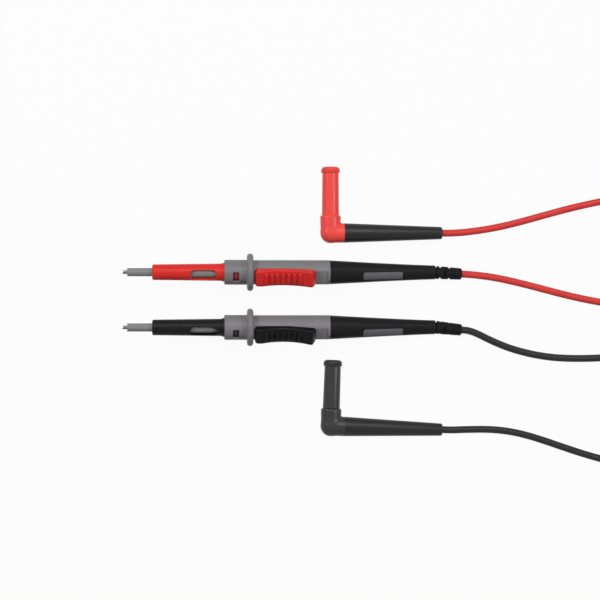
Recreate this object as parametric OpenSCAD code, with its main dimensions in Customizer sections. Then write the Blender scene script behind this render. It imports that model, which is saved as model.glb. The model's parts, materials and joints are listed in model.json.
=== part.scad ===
// A pair of test leads, red and black. Each lead is a hand probe with a sliding sheath,
// a flexible cable, and a right-angle shrouded plug with a 4 mm pin.
// A probe is drawn along X from the front face of its finger guard, tip towards -X.
// A plug is drawn with its cable along X and its shroud along Z.

/* [Tip and sheath] */
// Diameter of the metal tip
tip_d = 2.0; // [1.6:0.1:2.2]
// Length of the point ground on the tip
tip_point = 1.8; // [1:0.1:2.5]
// Bare metal ahead of the sheath with the slide forward
tip_show = 4.0; // [3:0.1:5]
// Outer diameter of the sheath's front tube
sheath_d = 4.6; // [4:0.1:5.2]
// Outer diameter of the sheath's rear tube, inside the nose
sheath_rear_d = 6.2; // [6:0.1:6.8]
// Length of the sheath standing out of the nose
sheath_show = 13.9; // [11:0.1:16]

/* [Nose cone] */
// Length of the nose from its front face to the collar
nose_len = 40.2; // [38:0.1:46]
// Diameter at the front face
nose_front_d = 8.7; // [8.4:0.1:9.4]
// Diameter where the flare starts
nose_rear_d = 9.6; // [9.5:0.1:10.4]
// Diameter of the flare where it meets the collar
nose_flare_d = 11.0; // [10.7:0.1:11.6]
// Length of the flare
nose_flare_len = 3.0; // [2:0.1:5]
// Thickness of the nose's front wall
nose_front_wall = 3.5; // [2:0.1:5]
// Length of the spigot that enters the collar
nose_spigot_len = 3.5; // [2:0.1:3.9]
// Length of the sight slot
slot_len = 14.9; // [10:0.1:18]
// Width of the sight slot
slot_w = 5.4; // [4:0.1:5.8]
// Distance from the collar to the sight slot
slot_back = 4.2; // [3.2:0.1:6]

/* [Barrel] */
// Length of the collar ahead of the guard
collar_len = 12.7; // [12:0.1:16]
// Diameter of the collar
collar_d = 13.9; // [13.5:0.1:15]
// Length of the sight window in the collar
window_len = 3.6; // [2:0.1:4]
// Width of the sight window across the collar
window_w = 5.4; // [4:0.1:6]
// Distance from the guard back to the middle of the window
window_back = 6.3; // [6:0.1:7]
// Diameter of the finger guard
guard_d = 20.9; // [19:0.1:24]
// Thickness of the finger guard
guard_t = 3.4; // [3.2:0.1:4]
// Rounding of the guard's rim
guard_round = 1.5; // [0.6:0.1:1.5]
// Distance from the guard's front face to the rear grip
barrel_len = 46.4; // [46.4:0.1:52]
// Diameter of the barrel
barrel_d = 13.6; // [13.2:0.1:14.4]
// Wall of the barrel
barrel_wall = 1.6; // [1.5:0.05:1.7]
// Wall of the collar
collar_wall = 1.0; // [0.8:0.05:1.2]
// Depth of the flat track under the thumb slider
track_depth = 0.9; // [0.5:0.05:0.9]

/* [Thumb slide] */
// Travel of the slide
travel = 7.0; // [5:0.1:7]
// Length of the thumb slider
slider_len = 33.9; // [32:0.1:34]
// Width of the thumb slider
slider_w = 9.6; // [8:0.1:10.4]
// Height of the slider's front end above the barrel
slider_front_h = 2.8; // [2.2:0.1:3.4]
// Height of the slider's rear end above the barrel
slider_rear_h = 4.1; // [3.4:0.1:5]
// Depth of the thumb scoop
scoop_depth = 2.1; // [1:0.1:2.4]
// Number of ribs in the scoop
rib_count = 7; // [3:1:7]
// Distance between ribs
rib_pitch = 3.17; // [2.4:0.01:3.3]
// Width of a rib
rib_w = 1.6; // [1.2:0.1:2]
// Rise of the slider's skirt at its rear end
skirt_rise = 1.8; // [1:0.1:2]
// Length of a rib, across the slider
rib_len = 5.8; // [4:0.1:7]
// Gap between the guard and the slider
slider_gap = 0.8; // [0.5:0.1:1]
// Width of the stem that joins the slider to the carriage
stem_w = 3.0; // [2:0.1:4]
// Length of the stem
stem_len = 12.0; // [8:0.1:12]
// Wall of the carriage
carriage_wall = 1.0; // [0.8:0.05:1.4]
// Depth of the carriage's solid front end
carriage_front_len = 5.0; // [3:0.1:6]

/* [Rear grip] */
// Length of the rear grip
grip_len = 59.4; // [52:0.1:66]
// Diameter of the grip at the barrel
grip_front_d = 13.4; // [13.2:0.1:14]
// Diameter of the grip at the strain relief
grip_rear_d = 7.8; // [7.6:0.1:8.8]
// Length of the spigot that enters the barrel
grip_spigot_len = 5.4; // [3:0.1:6]
// Length of the label plate
label_len = 22.0; // [16:0.1:26]
// Width of the label plate
label_w = 4.3; // [3:0.1:5]
// Distance from the barrel to the label plate
label_back = 18.6; // [14:0.1:22]
// Thickness of the label plate
label_t = 0.5; // [0.4:0.05:0.8]

/* [Strain relief] */
// Length of the strain relief behind the grip
relief_len = 14.9; // [13:0.1:18]
// Diameter of the strain relief at the grip
relief_front_d = 7.4; // [7:0.1:7.6]
// Diameter of the strain relief's end
relief_end_d = 6.4; // [6:0.1:7]
// Number of pairs of flex notches
notch_count = 3; // [2:1:3]
// Distance between the pairs of notches
notch_pitch = 2.55; // [2.4:0.05:2.7]
// Distance from the grip to the first pair
notch_start = 2.65; // [2.2:0.05:2.8]
// Width of a notch at the surface
notch_w = 2.1; // [1.2:0.1:2.2]
// Wall left under a notch
notch_floor = 0.3; // [0.2:0.05:0.5]

/* [Cable] */
// Diameter of the cable
cable_d = 4.0; // [3.8:0.1:4.0]
// Diameter of its copper core
core_d = 1.9; // [1.6:0.1:2]
// Thickness of the strap that ties each coil
tie_t = 0.8; // [0.6:0.1:0.8]
// Width of the strap
tie_w = 8.0; // [6:0.5:8]

/* [Plug] */
// Diameter of the plug's pin
pin_d = 4.0; // [3.9:0.05:4.05]
// Length of the pin from the floor of the shroud
pin_len = 18.8; // [17:0.1:20]
// Distance from the cable's centreline to the open end of the shroud
plug_reach = 37.2; // [34.5:0.1:40]
// Distance from the cable's centreline to the elbow's step
elbow_step = 10.0; // [9.5:0.1:12]
// Diameter of the elbow along the cable
elbow_d = 10.9; // [10.5:0.1:11.4]
// Diameter of the elbow at its step
elbow_top_d = 11.7; // [11.4:0.1:12.6]
// Outer diameter of the shroud at the elbow
shroud_base_d = 9.6; // [9.4:0.1:10.4]
// Outer diameter of the shroud behind its lip
shroud_end_d = 9.1; // [9:0.1:9.4]
// Bore of the shroud
shroud_bore_d = 7.2; // [6.8:0.1:7.4]
// Thickness of the shroud's floor
shroud_floor = 3.5; // [2.5:0.1:4]
// Diameter of the lip
lip_d = 10.8; // [10.4:0.1:11.6]
// Length of the lip
lip_len = 3.8; // [3.6:0.1:5]
// Rounding of the lip towards the open end
lip_round = 2.4; // [1.6:0.1:2.4]
// Distance from the shroud's centreline to the boot
boot_start = 7.8; // [7.4:0.1:9]
// Length of the boot
boot_len = 55.0; // [45:0.5:60]
// Diameter of the boot at the cable
boot_end_d = 6.9; // [6.4:0.1:7.6]

/* [Layout] */
// Distance between the axes of the two probes
probe_spacing = 30.8; // [24:0.1:40]
// Turn of the red probe about its axis
red_roll = 25; // [0:1:60]
// Turn of the black probe about its axis
black_roll = 36; // [0:1:60]
// Turn of the red strain relief about its axis
red_relief_roll = 5; // [0:1:60]
// Turn of the black strain relief about its axis
black_relief_roll = 25; // [0:1:60]
// Bend of the red strain relief
red_bend = 3.5; // [0:0.5:6]
// Bend of the black strain relief
black_bend = 6.0; // [0:0.5:6]
// Angle of each shroud above the surface
shroud_lift = 0; // [0:1:30]

/* [Clearances] */
// Radial gap between pieces that are fixed in each other
fit_gap = 0.05; // [0.03:0.01:0.08]
// Radial gap between pieces that slide
slide_gap = 0.3; // [0.2:0.05:0.35]

/* [Hidden] */
PARTS = [
  "tip_rod", "tip_sheath", "nose_cone", "barrel", "rod_holder", "slide_carriage", "detent_spring",
  "thumb_slider", "crimp_ferrule", "wire_core", "handle_cable", "rear_grip", "label_plate",
  "strain_relief", "cable_probe_side", "cable_coil", "coil_tie", "cable_plug_side", "plug_cable",
  "plug_core", "plug_boot", "plug_elbow", "plug_shroud", "plug_pin", "pin_spring", "plug_terminal",
];
$fn = 64;
overcut = 0.01; // overshoot of a cut past a face

// Stations along a probe, from the guard's front face
collar_front = -collar_len;
nose_front = collar_front - nose_len;
sheath_front = nose_front - sheath_show;
tip_front = sheath_front - tip_show;
nose_step = nose_front + nose_front_wall;
sheath_step = nose_step + slide_gap;
nose_end = collar_front + nose_spigot_len;
carriage_front = nose_end + slide_gap;
sheath_end = carriage_front + carriage_front_len;
slider_front = guard_t + slider_gap;
slider_rear = slider_front + slider_len;
spigot_front = barrel_len - grip_spigot_len;
holder_len = 5.5;
holder_front = spigot_front - holder_len;
carriage_rear = holder_front - travel - 0.5;
stem_rear = carriage_rear - 1.5;
stem_front = stem_rear - stem_len;
track_rear = slider_rear + travel + slide_gap;
bore_step = guard_t - slide_gap;
carriage_step = bore_step - travel - slide_gap;
ferrule_len = 12;
ferrule_front = spigot_front + 2.5;
wire_start = ferrule_front + ferrule_len / 2;
handle_cable_start = ferrule_front + ferrule_len + 1.5;
grip_end = barrel_len + grip_len;
relief_end = grip_end + relief_len;

// Radii of a probe
tip_r = tip_d / 2;
sheath_r = sheath_d / 2;
sheath_rear_r = sheath_rear_d / 2;
nose_bore_r = sheath_rear_r + slide_gap;
nose_spigot_r = nose_flare_d / 2 - 0.4;
bore_r = barrel_d / 2 - barrel_wall;
collar_bore_r = collar_d / 2 - collar_wall;
carriage_front_r = collar_bore_r - slide_gap;
track_z = barrel_d / 2 - track_depth;
slider_foot_z = track_z + slide_gap;
carriage_r = bore_r - slide_gap;
slider_seat_r = barrel_d / 2 + slide_gap;
cable_r = cable_d / 2;
core_r = core_d / 2;
ferrule_r = core_r + 0.75;
holder_flange_r = tip_r + 0.8;
grip_cavity_r = ferrule_r + 1.9;
relief_spigot_r = grip_rear_d / 2 - 1.2;
relief_spigot_len = 2.5;
relief_room = slide_gap; // lets the relief bend in the grip's mouth
mouth_gap = 0.5; // between the grip's end and the relief
relief_round = 1.0;
detent_depth = 0.3;

// Stations and radii of a plug, from where its two centrelines cross
floor_top = elbow_step + shroud_floor;
pin_end = floor_top + pin_len;
pin_r = pin_d / 2;
pin_round = 1.4;
shoulder_r = 2.4; // of the pin, in the shroud's floor
shank_r = 1.5;
flange_r = 2.8;
flange_t = 1.8;
shroud_spigot_r = 4.0;
shroud_spigot_len = 2.5;
flange_base = elbow_step - shroud_spigot_len + fit_gap;
terminal_r = 2.2;
terminal_start = -2.5;
terminal_end = boot_start + 4.2;
wire_bore_start = 4;
boot_end = boot_start + boot_len;
boot_round = 0.8;
plug_cable_start = terminal_end + 2;

// A body that rests on two rounded rims leans by this angle: run and rise are the distances
// between the rims' centres, and drop is how much larger the first rim's radius is
function lean(run, rise, drop) = asin(drop / norm([run, rise])) - atan2(rise, run);

// Probe on the surface, resting on the guard's rear rim and on the strain relief's end
guard_rim = [guard_t - guard_round, guard_d / 2 - guard_round];
relief_rim = [relief_end - relief_round, relief_end_d / 2 - relief_round];
probe_lean = lean(relief_rim.x - guard_rim.x, relief_rim.y - guard_rim.y, guard_round - relief_round);
guard_z = guard_round + guard_rim.x * sin(probe_lean) + guard_rim.y * cos(probe_lean);
// The two probes together are centred on X
probe_x = -(tip_front + relief_end) * cos(probe_lean) / 2 - relief_end_d / 4 * sin(probe_lean);

// Plug on the surface, resting on its elbow or its lip and on the end of its boot
plug_z = max(
  elbow_d / 2, elbow_top_d / 2 * cos(shroud_lift) - elbow_step * sin(shroud_lift),
  lip_d / 2 * cos(shroud_lift) - plug_reach * sin(shroud_lift)
);
boot_rim = [boot_end - boot_round, boot_end_d / 2 - boot_round];
plug_lean = lean(boot_rim.x, boot_rim.y, plug_z - boot_round);
red_plug_at = [21.7, 37.5];
black_plug_at = [21.8, -70.8];
red_plug_turn = 0;
black_plug_turn = -2;

module on_probe(side, roll)
  translate([probe_x, side * probe_spacing / 2, guard_z])
    rotate([0, probe_lean, 0]) rotate([roll, 0, 0]) children();

// Bends a strain relief sideways where it leaves the grip
module bent(bend) translate([grip_end, 0, 0]) rotate([0, 0, -bend]) translate([-grip_end, 0, 0]) children();

module on_relief(side, roll, bend)
  on_probe(side, 0) bent(bend) rotate([roll, 0, 0]) children();

module on_plug(at, turn)
  translate([at.x, at.y, plug_z])
    rotate([0, 0, turn]) rotate([0, plug_lean, 0]) rotate([shroud_lift - 90, 0, 0]) children();

// ---- Shared shapes ----

// Turns an outline drawn with the axis along X and the radius along Y
module turned() rotate([0, 90, 0]) rotate_extrude() mirror([1, -1]) children();

// Flat strip of an outline from x0 to x1 and from r0 to r1
module band(x0, x1, r0, r1) translate([x0, r0]) square([x1 - x0, r1 - r0]);

// Band with its two outer corners rounded
module rounded_band(x0, x1, r1, round) {
  band(x0 + round, x1 - round, 0, r1);
  band(x0, x1, 0, r1 - round);
  for (x = [x0 + round, x1 - round]) translate([x, r1 - round]) circle(round);
}

module tube(x0, x1, outer_r, inner_r) turned() band(x0, x1, inner_r, outer_r);

module rod(x0, x1, r) translate([x0, 0, 0]) rotate([0, 90, 0]) cylinder(h = x1 - x0, r = r);

// Obround plate outline centred on the origin, long along X
module obround(length, width) {
  square([length - width, width], center = true);
  for (end = [-1, 1]) translate([end * (length - width) / 2, 0]) circle(d = width);
}

// Rectangle with rounded corners, centred on the origin
module rounded_rect(length, width, round) {
  square([length - 2 * round, width], center = true);
  square([length, width - 2 * round], center = true);
  for (x = [-1, 1], y = [-1, 1])
    translate([x * (length / 2 - round), y * (width / 2 - round)]) circle(round);
}

// ---- Probe ----

module tip_rod() color("silver") {
  end_r = 0.2;
  rod_end = wire_start - 0.5;
  turned() {
    polygon([
      [tip_front, 0], [rod_end, 0], [rod_end, tip_r], [tip_front + tip_point, tip_r],
      [tip_front, end_r],
    ]);
    band(holder_front + 1.5, holder_front + 3.5, 0, holder_flange_r);
  }
}

module tip_sheath() color("dimgray") turned() difference() {
  chamfer = 0.4;
  union() {
    polygon([
      [sheath_front, 0], [sheath_step + 1, 0], [sheath_step + 1, sheath_r],
      [sheath_front + chamfer, sheath_r], [sheath_front, sheath_r - chamfer],
    ]);
    band(sheath_step, sheath_end, 0, sheath_rear_r);
  }
  band(sheath_front - overcut, sheath_end + overcut, -1, tip_r + slide_gap);
}

module nose_cone(ink) color(ink) {
  flare_start = collar_front - nose_flare_len;
  rise = (nose_flare_d - nose_rear_d) / 2;
  flare_r = (nose_flare_len * nose_flare_len + rise * rise) / (2 * rise);
  front_round = 0.8;
  slot_mid = collar_front - slot_back - slot_len / 2;
  difference() {
    turned() difference() {
      union() {
        polygon([
          [nose_front + front_round, 0], [flare_start, 0], [flare_start, nose_rear_d / 2],
          [nose_front + front_round, nose_front_d / 2],
        ]);
        band(nose_front, nose_front + front_round, 0, nose_front_d / 2 - front_round);
        translate([nose_front + front_round, nose_front_d / 2 - front_round]) circle(front_round);
        difference() {
          band(flare_start, collar_front, 0, nose_flare_d / 2);
          translate([flare_start, nose_rear_d / 2 + flare_r]) circle(flare_r, $fn = 180);
        }
        band(collar_front - 1, nose_end, 0, nose_spigot_r);
      }
      band(nose_front - overcut, nose_step + overcut, -1, sheath_r + slide_gap);
      band(nose_step, nose_end + overcut, -1, nose_bore_r);
    }
    translate([slot_mid, 0, nose_bore_r / 2])
      linear_extrude(nose_rear_d / 2) obround(slot_len, slot_w);
  }
}

module barrel() color("gray") {
  collar_round = 0.5;
  difference() {
    turned() difference() {
      union() {
        rounded_band(collar_front, guard_t / 2, collar_d / 2, collar_round);
        rounded_band(0, guard_t, guard_d / 2, guard_round);
        band(guard_t - 1, barrel_len, 0, barrel_d / 2);
      }
      band(collar_front - overcut, nose_end, -1, nose_spigot_r + fit_gap);
      band(nose_end - overcut, bore_step, -1, collar_bore_r);
      band(bore_step - overcut, barrel_len + overcut, -1, bore_r);
      for (x = [leaf_mid, leaf_mid + travel])
        translate([x, bore_r - 1 + detent_depth]) circle(1);
    }
    // flat track of the thumb slider
    translate([guard_t, -barrel_d / 2, track_z]) cube([track_rear - guard_t, barrel_d, barrel_d]);
    translate([-window_back, 0, carriage_front_r])
      linear_extrude(collar_d / 2) rounded_rect(window_len, window_w, 0.5);
    translate([(stem_front + stem_rear + travel) / 2, 0, bore_r - 1])
      linear_extrude(barrel_d / 2)
        square([stem_len + travel + 2 * slide_gap, stem_w + 2 * slide_gap], center = true);
  }
}

module rod_holder() color("ivory") turned() difference() {
  band(holder_front, spigot_front, 0, bore_r - fit_gap);
  band(holder_front - overcut, spigot_front + overcut, -1, tip_r + fit_gap);
  band(holder_front + 1.5 - fit_gap, holder_front + 3.5 + fit_gap, -1, holder_flange_r + fit_gap);
}

// Leaf that rides in the carriage and clicks into the barrel's detents
leaf_len = 12;
leaf_t = 0.3;
leaf_w = 2.6;
leaf_mid = carriage_rear - 8;
leaf_rise = carriage_wall - leaf_t;
leaf_r = (leaf_len * leaf_len / 4 + leaf_rise * leaf_rise) / (2 * leaf_rise);

module detent_spring() color("gainsboro")
  translate([leaf_mid, 0, leaf_r - carriage_r]) rotate([90, 0, 0])
    linear_extrude(leaf_w, center = true) intersection() {
      difference() {
        circle(leaf_r, $fn = 180);
        circle(leaf_r - leaf_t, $fn = 180);
      }
      translate([0, -leaf_r]) square([leaf_len, 2 * leaf_rise + 2 * leaf_t], center = true);
    }

module slide_carriage(ink) color(ink) {
  groove_w = 0.7;
  groove_depth = 0.2;
  difference() {
    turned() difference() {
      union() {
        band(carriage_front, carriage_step, 0, carriage_front_r);
        band(carriage_step - 1, carriage_rear, 0, carriage_r);
      }
      band(carriage_front - overcut, sheath_end + overcut, -1, sheath_rear_r + fit_gap);
      band(sheath_end, carriage_rear + overcut, -1, carriage_r - carriage_wall);
    }
    // hole for the slider's stem
    translate([(stem_front + stem_rear) / 2, 0, carriage_r])
      cube([stem_len + 2 * fit_gap, stem_w + 2 * fit_gap, 4 * carriage_wall], center = true);
    // pocket for the detent leaf
    translate([leaf_mid, 0, -carriage_r])
      cube([leaf_len + 4 * fit_gap, leaf_w + 4 * fit_gap, 4 * carriage_wall], center = true);
    // two sight grooves that stand under the collar's window
    for (side = [-1, 1])
      translate([-window_back + side * window_len / 4, 0, 0])
        tube(-groove_w / 2, groove_w / 2, carriage_front_r + 1, carriage_front_r - groove_depth);
  }
}

module thumb_slider(ink) color(ink) {
  front_h = barrel_d / 2 + slider_front_h;
  rear_h = barrel_d / 2 + slider_rear_h;
  front_round = 1.4;
  rear_slope = [1.9, 3.2]; // run and rise of the sloped rear end
  scoop_start = slider_front + 2.8;
  scoop_end = slider_rear - 5.4;
  scoop_half = norm([scoop_end - scoop_start, rear_h - front_h]) / 2;
  scoop_r = (scoop_half * scoop_half + scoop_depth * scoop_depth) / (2 * scoop_depth);
  scoop_mid = [(scoop_start + scoop_end) / 2, (front_h + rear_h) / 2 + scoop_r - scoop_depth];
  rib_first = scoop_mid.x - rib_pitch * (rib_count - 1) / 2;
  rib_sink = 0.3;
  skirt_z = sqrt(pow(slider_seat_r, 2) - pow(slider_w / 2, 2));
  skirt_rear_z = min(skirt_z + skirt_rise, rear_h - rear_slope.y - 0.5);
  stem_foot = carriage_r - carriage_wall + fit_gap;
  difference() {
    intersection() {
      rotate([90, 0, 0]) {
        linear_extrude(slider_w, center = true) difference() {
          union() {
            polygon([
              [slider_front, skirt_z - 1], [stem_front, skirt_z - 1], [slider_rear, skirt_rear_z],
              [slider_rear, rear_h - rear_slope.y], [slider_rear - rear_slope.x, rear_h],
              [slider_front + front_round, front_h], [slider_front, front_h - front_round],
            ]);
            translate([slider_front + front_round, front_h - front_round]) circle(front_round);
          }
          translate(scoop_mid) circle(scoop_r, $fn = 180);
        }
        linear_extrude(rib_len, center = true)
          for (i = [0:rib_count - 1]) {
            dx = i * rib_pitch + rib_first - scoop_mid.x;
            translate([scoop_mid.x + dx, scoop_mid.y - sqrt(scoop_r * scoop_r - dx * dx) - rib_sink])
              circle(rib_w / 2);
          }
      }
      translate([(slider_front + slider_rear) / 2, 0, 0])
        linear_extrude(2 * rear_h) rounded_rect(slider_len, slider_w, 1.6);
    }
    // seat over the barrel, with a flat foot over the track
    intersection() {
      rod(slider_front - 1, slider_rear + 1, slider_seat_r);
      translate([slider_front - 1, -slider_w, slider_foot_z - 2 * slider_seat_r])
        cube([slider_len + 2, 2 * slider_w, 2 * slider_seat_r]);
    }
  }
  translate([stem_front, -stem_w / 2, stem_foot]) cube([stem_len, stem_w, slider_foot_z + 0.3 - stem_foot]);
}

module crimp_ferrule() color("goldenrod")
  tube(ferrule_front, ferrule_front + ferrule_len, ferrule_r, max(tip_r, core_r) + fit_gap);

core_end = grip_end - 3;

module wire_core() color("peru") rod(wire_start, core_end, core_r);

module handle_cable(ink, bend) color(ink) difference() {
  union() {
    rod(handle_cable_start, grip_end, cable_r);
    translate([grip_end, 0, 0]) rotate([0, 90, 0]) sphere(cable_r + fit_gap / 2);
    bent(bend) rod(grip_end, relief_end, cable_r);
  }
  rod(handle_cable_start - 1, core_end + fit_gap, core_r + fit_gap);
}

// Radius of the grip at a station: a taper that eases off towards the cable
taper_ease = 1.2;
taper_steps = 16;
function grip_r(x) =
  let (left = 1 - min(1, max(0, (x - barrel_len) / grip_len)))
  (grip_rear_d + (grip_front_d - grip_rear_d) * pow(left, taper_ease)) / 2;

// Outline of the grip's surface, moved out by a distance
module grip_outline(out = 0) polygon([
  [barrel_len, 0], [grip_end, 0],
  for (i = [0:taper_steps]) let (x = grip_end - grip_len * i / taper_steps) [x, grip_r(x) + out],
]);

// Space of the label plate, standing proud of the grip by the given height
module label_space(length, width, proud, depth) {
  mid = barrel_len + label_back + label_len / 2;
  intersection() {
    turned() difference() {
      grip_outline(proud);
      grip_outline(-depth);
    }
    translate([mid, 0, 0]) linear_extrude(grip_front_d) rounded_rect(length, width, 0.8);
  }
}

module rear_grip() color("#1c1c1e") difference() {
  turned() difference() {
    union() {
      grip_outline();
      band(spigot_front, barrel_len + 1, 0, bore_r - fit_gap);
    }
    band(spigot_front - overcut, ferrule_front + ferrule_len + 1, -1, grip_cavity_r);
    band(spigot_front, grip_end + overcut, -1, cable_r + fit_gap);
    band(grip_end - relief_spigot_len - relief_room, grip_end + overcut, -1, relief_spigot_r + relief_room);
  }
  label_space(label_len + 2 * fit_gap, label_w + 2 * fit_gap, 1, label_t);
}

module label_plate() color("gray") label_space(label_len, label_w, 0.1, label_t - fit_gap);

module strain_relief() color("#1c1c1e") {
  notch_r = cable_r + fit_gap + notch_floor;
  difference() {
    turned() difference() {
      union() {
        polygon([
          [grip_end + mouth_gap, 0], [relief_end - relief_round, 0],
          [relief_end - relief_round, relief_end_d / 2], [grip_end + mouth_gap, relief_front_d / 2],
        ]);
        band(relief_end - 2 * relief_round, relief_end, 0, relief_end_d / 2 - relief_round);
        translate([relief_end - relief_round, relief_end_d / 2 - relief_round]) circle(relief_round);
        band(grip_end - relief_spigot_len, grip_end + 1, 0, relief_spigot_r);
      }
      band(grip_end - relief_spigot_len - 1, relief_end + overcut, -1, cable_r + fit_gap);
      band(grip_end - relief_spigot_len - 1, grip_end + overcut, -1, cable_r + relief_room);
    }
    // notches in facing pairs, in turn in the sides and in the top and bottom
    for (i = [0:notch_count - 1], half = [0, 180])
      translate([grip_end + notch_start + i * notch_pitch, 0, 0]) rotate([90 * (i % 2) + half, 0, 0])
        linear_extrude(relief_front_d, center = true) {
          depth = relief_front_d / 2 - notch_r;
          polygon([[0, notch_r], [notch_w, notch_r + 2 * depth], [-notch_w, notch_r + 2 * depth]]);
        }
  }
}

// ---- Cable ----

// Straight start of a cable, at a station past a bent strain relief or on a plug
function relief_station(side, bend, x) =
  let (along = grip_end + (x - grip_end) * cos(bend))
  [
    probe_x + along * cos(probe_lean), side * probe_spacing / 2 - (x - grip_end) * sin(bend),
    guard_z - along * sin(probe_lean),
  ];
function plug_station(at, turn, x) = [
  at.x + x * cos(turn) * cos(plug_lean), at.y + x * sin(turn) * cos(plug_lean),
  plug_z - x * sin(plug_lean),
];

// A coil of two layers winds in on the lower one and out on the upper one
turns_of_coil = 6.5;
coil_mean_r = 23.6;
coil_pitch = 4.45;
layer_rise = 4.45;
coil_z = tie_t + slide_gap + cable_r;
rings_per_turn = 24;
coil_out_r = coil_mean_r + coil_pitch * turns_of_coil / 4;
coil_in_r = coil_out_r - coil_pitch * turns_of_coil / 2;
red_coil = [207, 27];
black_coil = [207, -62];

function eased(t) = let (c = min(1, max(0, t))) c * c * (3 - 2 * c);
// Centreline of a coil: t in turns, hand 1 winds from the -Y side and hand -1 from the +Y side
function coil_point(centre, hand, t) =
  let (
    r = coil_out_r - coil_pitch * min(t, turns_of_coil - t),
    angle = hand * (360 * t - 90),
    z = coil_z + layer_rise * eased((t - turns_of_coil / 2) / 0.5 + 0.5)
  ) [centre.x + r * cos(angle), centre.y + r * sin(angle), z];
function coil_path(centre, hand) = [
  coil_point(centre, hand, 0) - [cable_d, 0, 0],
  for (i = [0:rings_per_turn * turns_of_coil]) coil_point(centre, hand, i / rings_per_turn),
  coil_point(centre, hand, turns_of_coil) - [cable_d, 0, 0],
];
red_coil_path = coil_path(red_coil, 1);
black_coil_path = coil_path(black_coil, -1);

// Routes of the free stretches. Each ends where its coil begins or ends.
lie_z = cable_r + 0.05;
red_probe_route = [
  relief_station(1, red_bend, relief_end), relief_station(1, red_bend, relief_end + 5),
  [106, 13.6, 2.6], [112, 12.8, 2.3], [119, 11.5, 2.1], [127, 9.7, lie_z], [135, 7.7, lie_z],
  [143, 5.6, lie_z], [151, 3.5, lie_z], [159, 1.6, lie_z], [167, -0.1, lie_z], [175, -1.5, 2.1],
  [183, -2.6, 2.3], [192, -3.4, 2.7], red_coil_path[0],
];
red_plug_route = [
  plug_station(red_plug_at, red_plug_turn, boot_end),
  plug_station(red_plug_at, red_plug_turn, boot_end + 5),
  [96, 37.9, 2.9], [102, 38.6, 2.5], [109, 39.6, 2.2], [116, 40.9, lie_z], [124, 42.7, lie_z],
  [132, 44.8, lie_z], [140, 47.0, lie_z], [148, 49.2, lie_z], [156, 51.3, lie_z], [164, 53.2, 2.2],
  [172, 54.9, 2.8], [180, 56.3, 3.9], [188, 57.2, 5.4], [196, 57.6, 6.8],
  red_coil_path[len(red_coil_path) - 1],
];
black_probe_route = [
  relief_station(-1, black_bend, relief_end), relief_station(-1, black_bend, relief_end + 4),
  [104.5, -19.2, 2.7], [110, -21.9, 2.4], [116, -24.6, 2.1], [123, -27.3, lie_z],
  [131, -29.6, lie_z], [139, -31.3, lie_z], [147, -32.4, lie_z], [155, -32.9, lie_z],
  [163, -33.0, lie_z], [171, -32.8, 2.1], [179, -32.4, 2.2], [187, -31.9, 2.4],
  [195, -31.4, 2.8], black_coil_path[0],
];
black_plug_route = [
  plug_station(black_plug_at, black_plug_turn, boot_end),
  plug_station(black_plug_at, black_plug_turn, boot_end + 5),
  [96, -73.0, 2.9], [102, -72.9, 2.5], [109, -72.9, 2.2], [116, -73.3, lie_z], [124, -74.4, lie_z],
  [132, -76.2, lie_z], [140, -78.6, lie_z], [148, -81.3, lie_z], [156, -84.0, lie_z],
  [164, -86.6, 2.2], [172, -88.9, 2.8], [180, -90.8, 3.9], [188, -92.1, 5.4], [196, -92.7, 6.8],
  black_coil_path[len(black_coil_path) - 1],
];

function unit(v) = v / norm(v);
function direction(path, i) = unit(path[min(i + 1, len(path) - 1)] - path[max(i - 1, 0)]);
function path_length(path, i = 1) =
  i >= len(path) ? 0 : norm(path[i] - path[i - 1]) + path_length(path, i + 1);

// Closed tube along a path of ring centres, with flat ends
module swept(path, r, sides) {
  rings = len(path);
  ring_points = [
    for (i = [0:rings - 1])
      let (
        along = direction(path, i),
        across = unit(cross([0, 0, 1], along)),
        up = cross(along, across)
      )
      for (k = [0:sides - 1])
        path[i] + r * (across * cos(360 * k / sides) + up * sin(360 * k / sides))
  ];
  side_faces = [
    for (i = [0:rings - 2], k = [0:sides - 1])
      let (a = i * sides + k, b = i * sides + (k + 1) % sides)
      for (face = [[a, a + sides, b], [b, a + sides, b + sides]]) face
  ];
  last = (rings - 1) * sides;
  end_faces = [for (k = [1:sides - 2]) for (face = [[0, k, k + 1], [last, last + k + 1, last + k]]) face];
  polyhedron(ring_points, concat(side_faces, end_faces));
}

// Least clear distance between two turns of a coil
function coil_gap(path) = min([
  for (i = [0:len(path) - 1], j = [i + rings_per_turn / 2:1:len(path) - 1]) norm(path[i] - path[j])
]) - cable_d;

function lead_length(probe_route, coil, plug_route) =
  path_length(probe_route) + path_length(coil) + path_length(plug_route);

union() {
  echo(
    coil_gap_mm = coil_gap(red_coil_path), coil_mm = path_length(red_coil_path),
    red_lead_mm = lead_length(red_probe_route, red_coil_path, red_plug_route),
    black_lead_mm = lead_length(black_probe_route, black_coil_path, black_plug_route)
  );
}

module cable(ink, route) color(ink) swept(route, cable_r, 8);
module coil(ink, path) color(ink) swept(path, cable_r, 6);

// Strap round all turns of a coil, on the side away from the probes
module tie(centre) color("#2a2a2c") {
  room = slide_gap + 0.1;
  in_x = sqrt(pow(coil_in_r - cable_r - room, 2) - pow(tie_w / 2, 2)) - room;
  out_x = coil_out_r + cable_r + room;
  top_z = coil_z + layer_rise + cable_r + room;
  translate([centre.x, centre.y + tie_w / 2, 0]) rotate([90, 0, 0]) linear_extrude(tie_w) difference() {
    translate([in_x - tie_t, 0]) square([out_x - in_x + 2 * tie_t, top_z + tie_t]);
    translate([in_x, tie_t]) square([out_x - in_x, top_z - tie_t]);
  }
}

// ---- Plug ----

module plug_cable(ink) color(ink) turned() difference() {
  band(plug_cable_start, boot_end, 0, cable_r);
  band(plug_cable_start - overcut, boot_end - 3 + fit_gap, -1, core_r + fit_gap);
}

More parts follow.
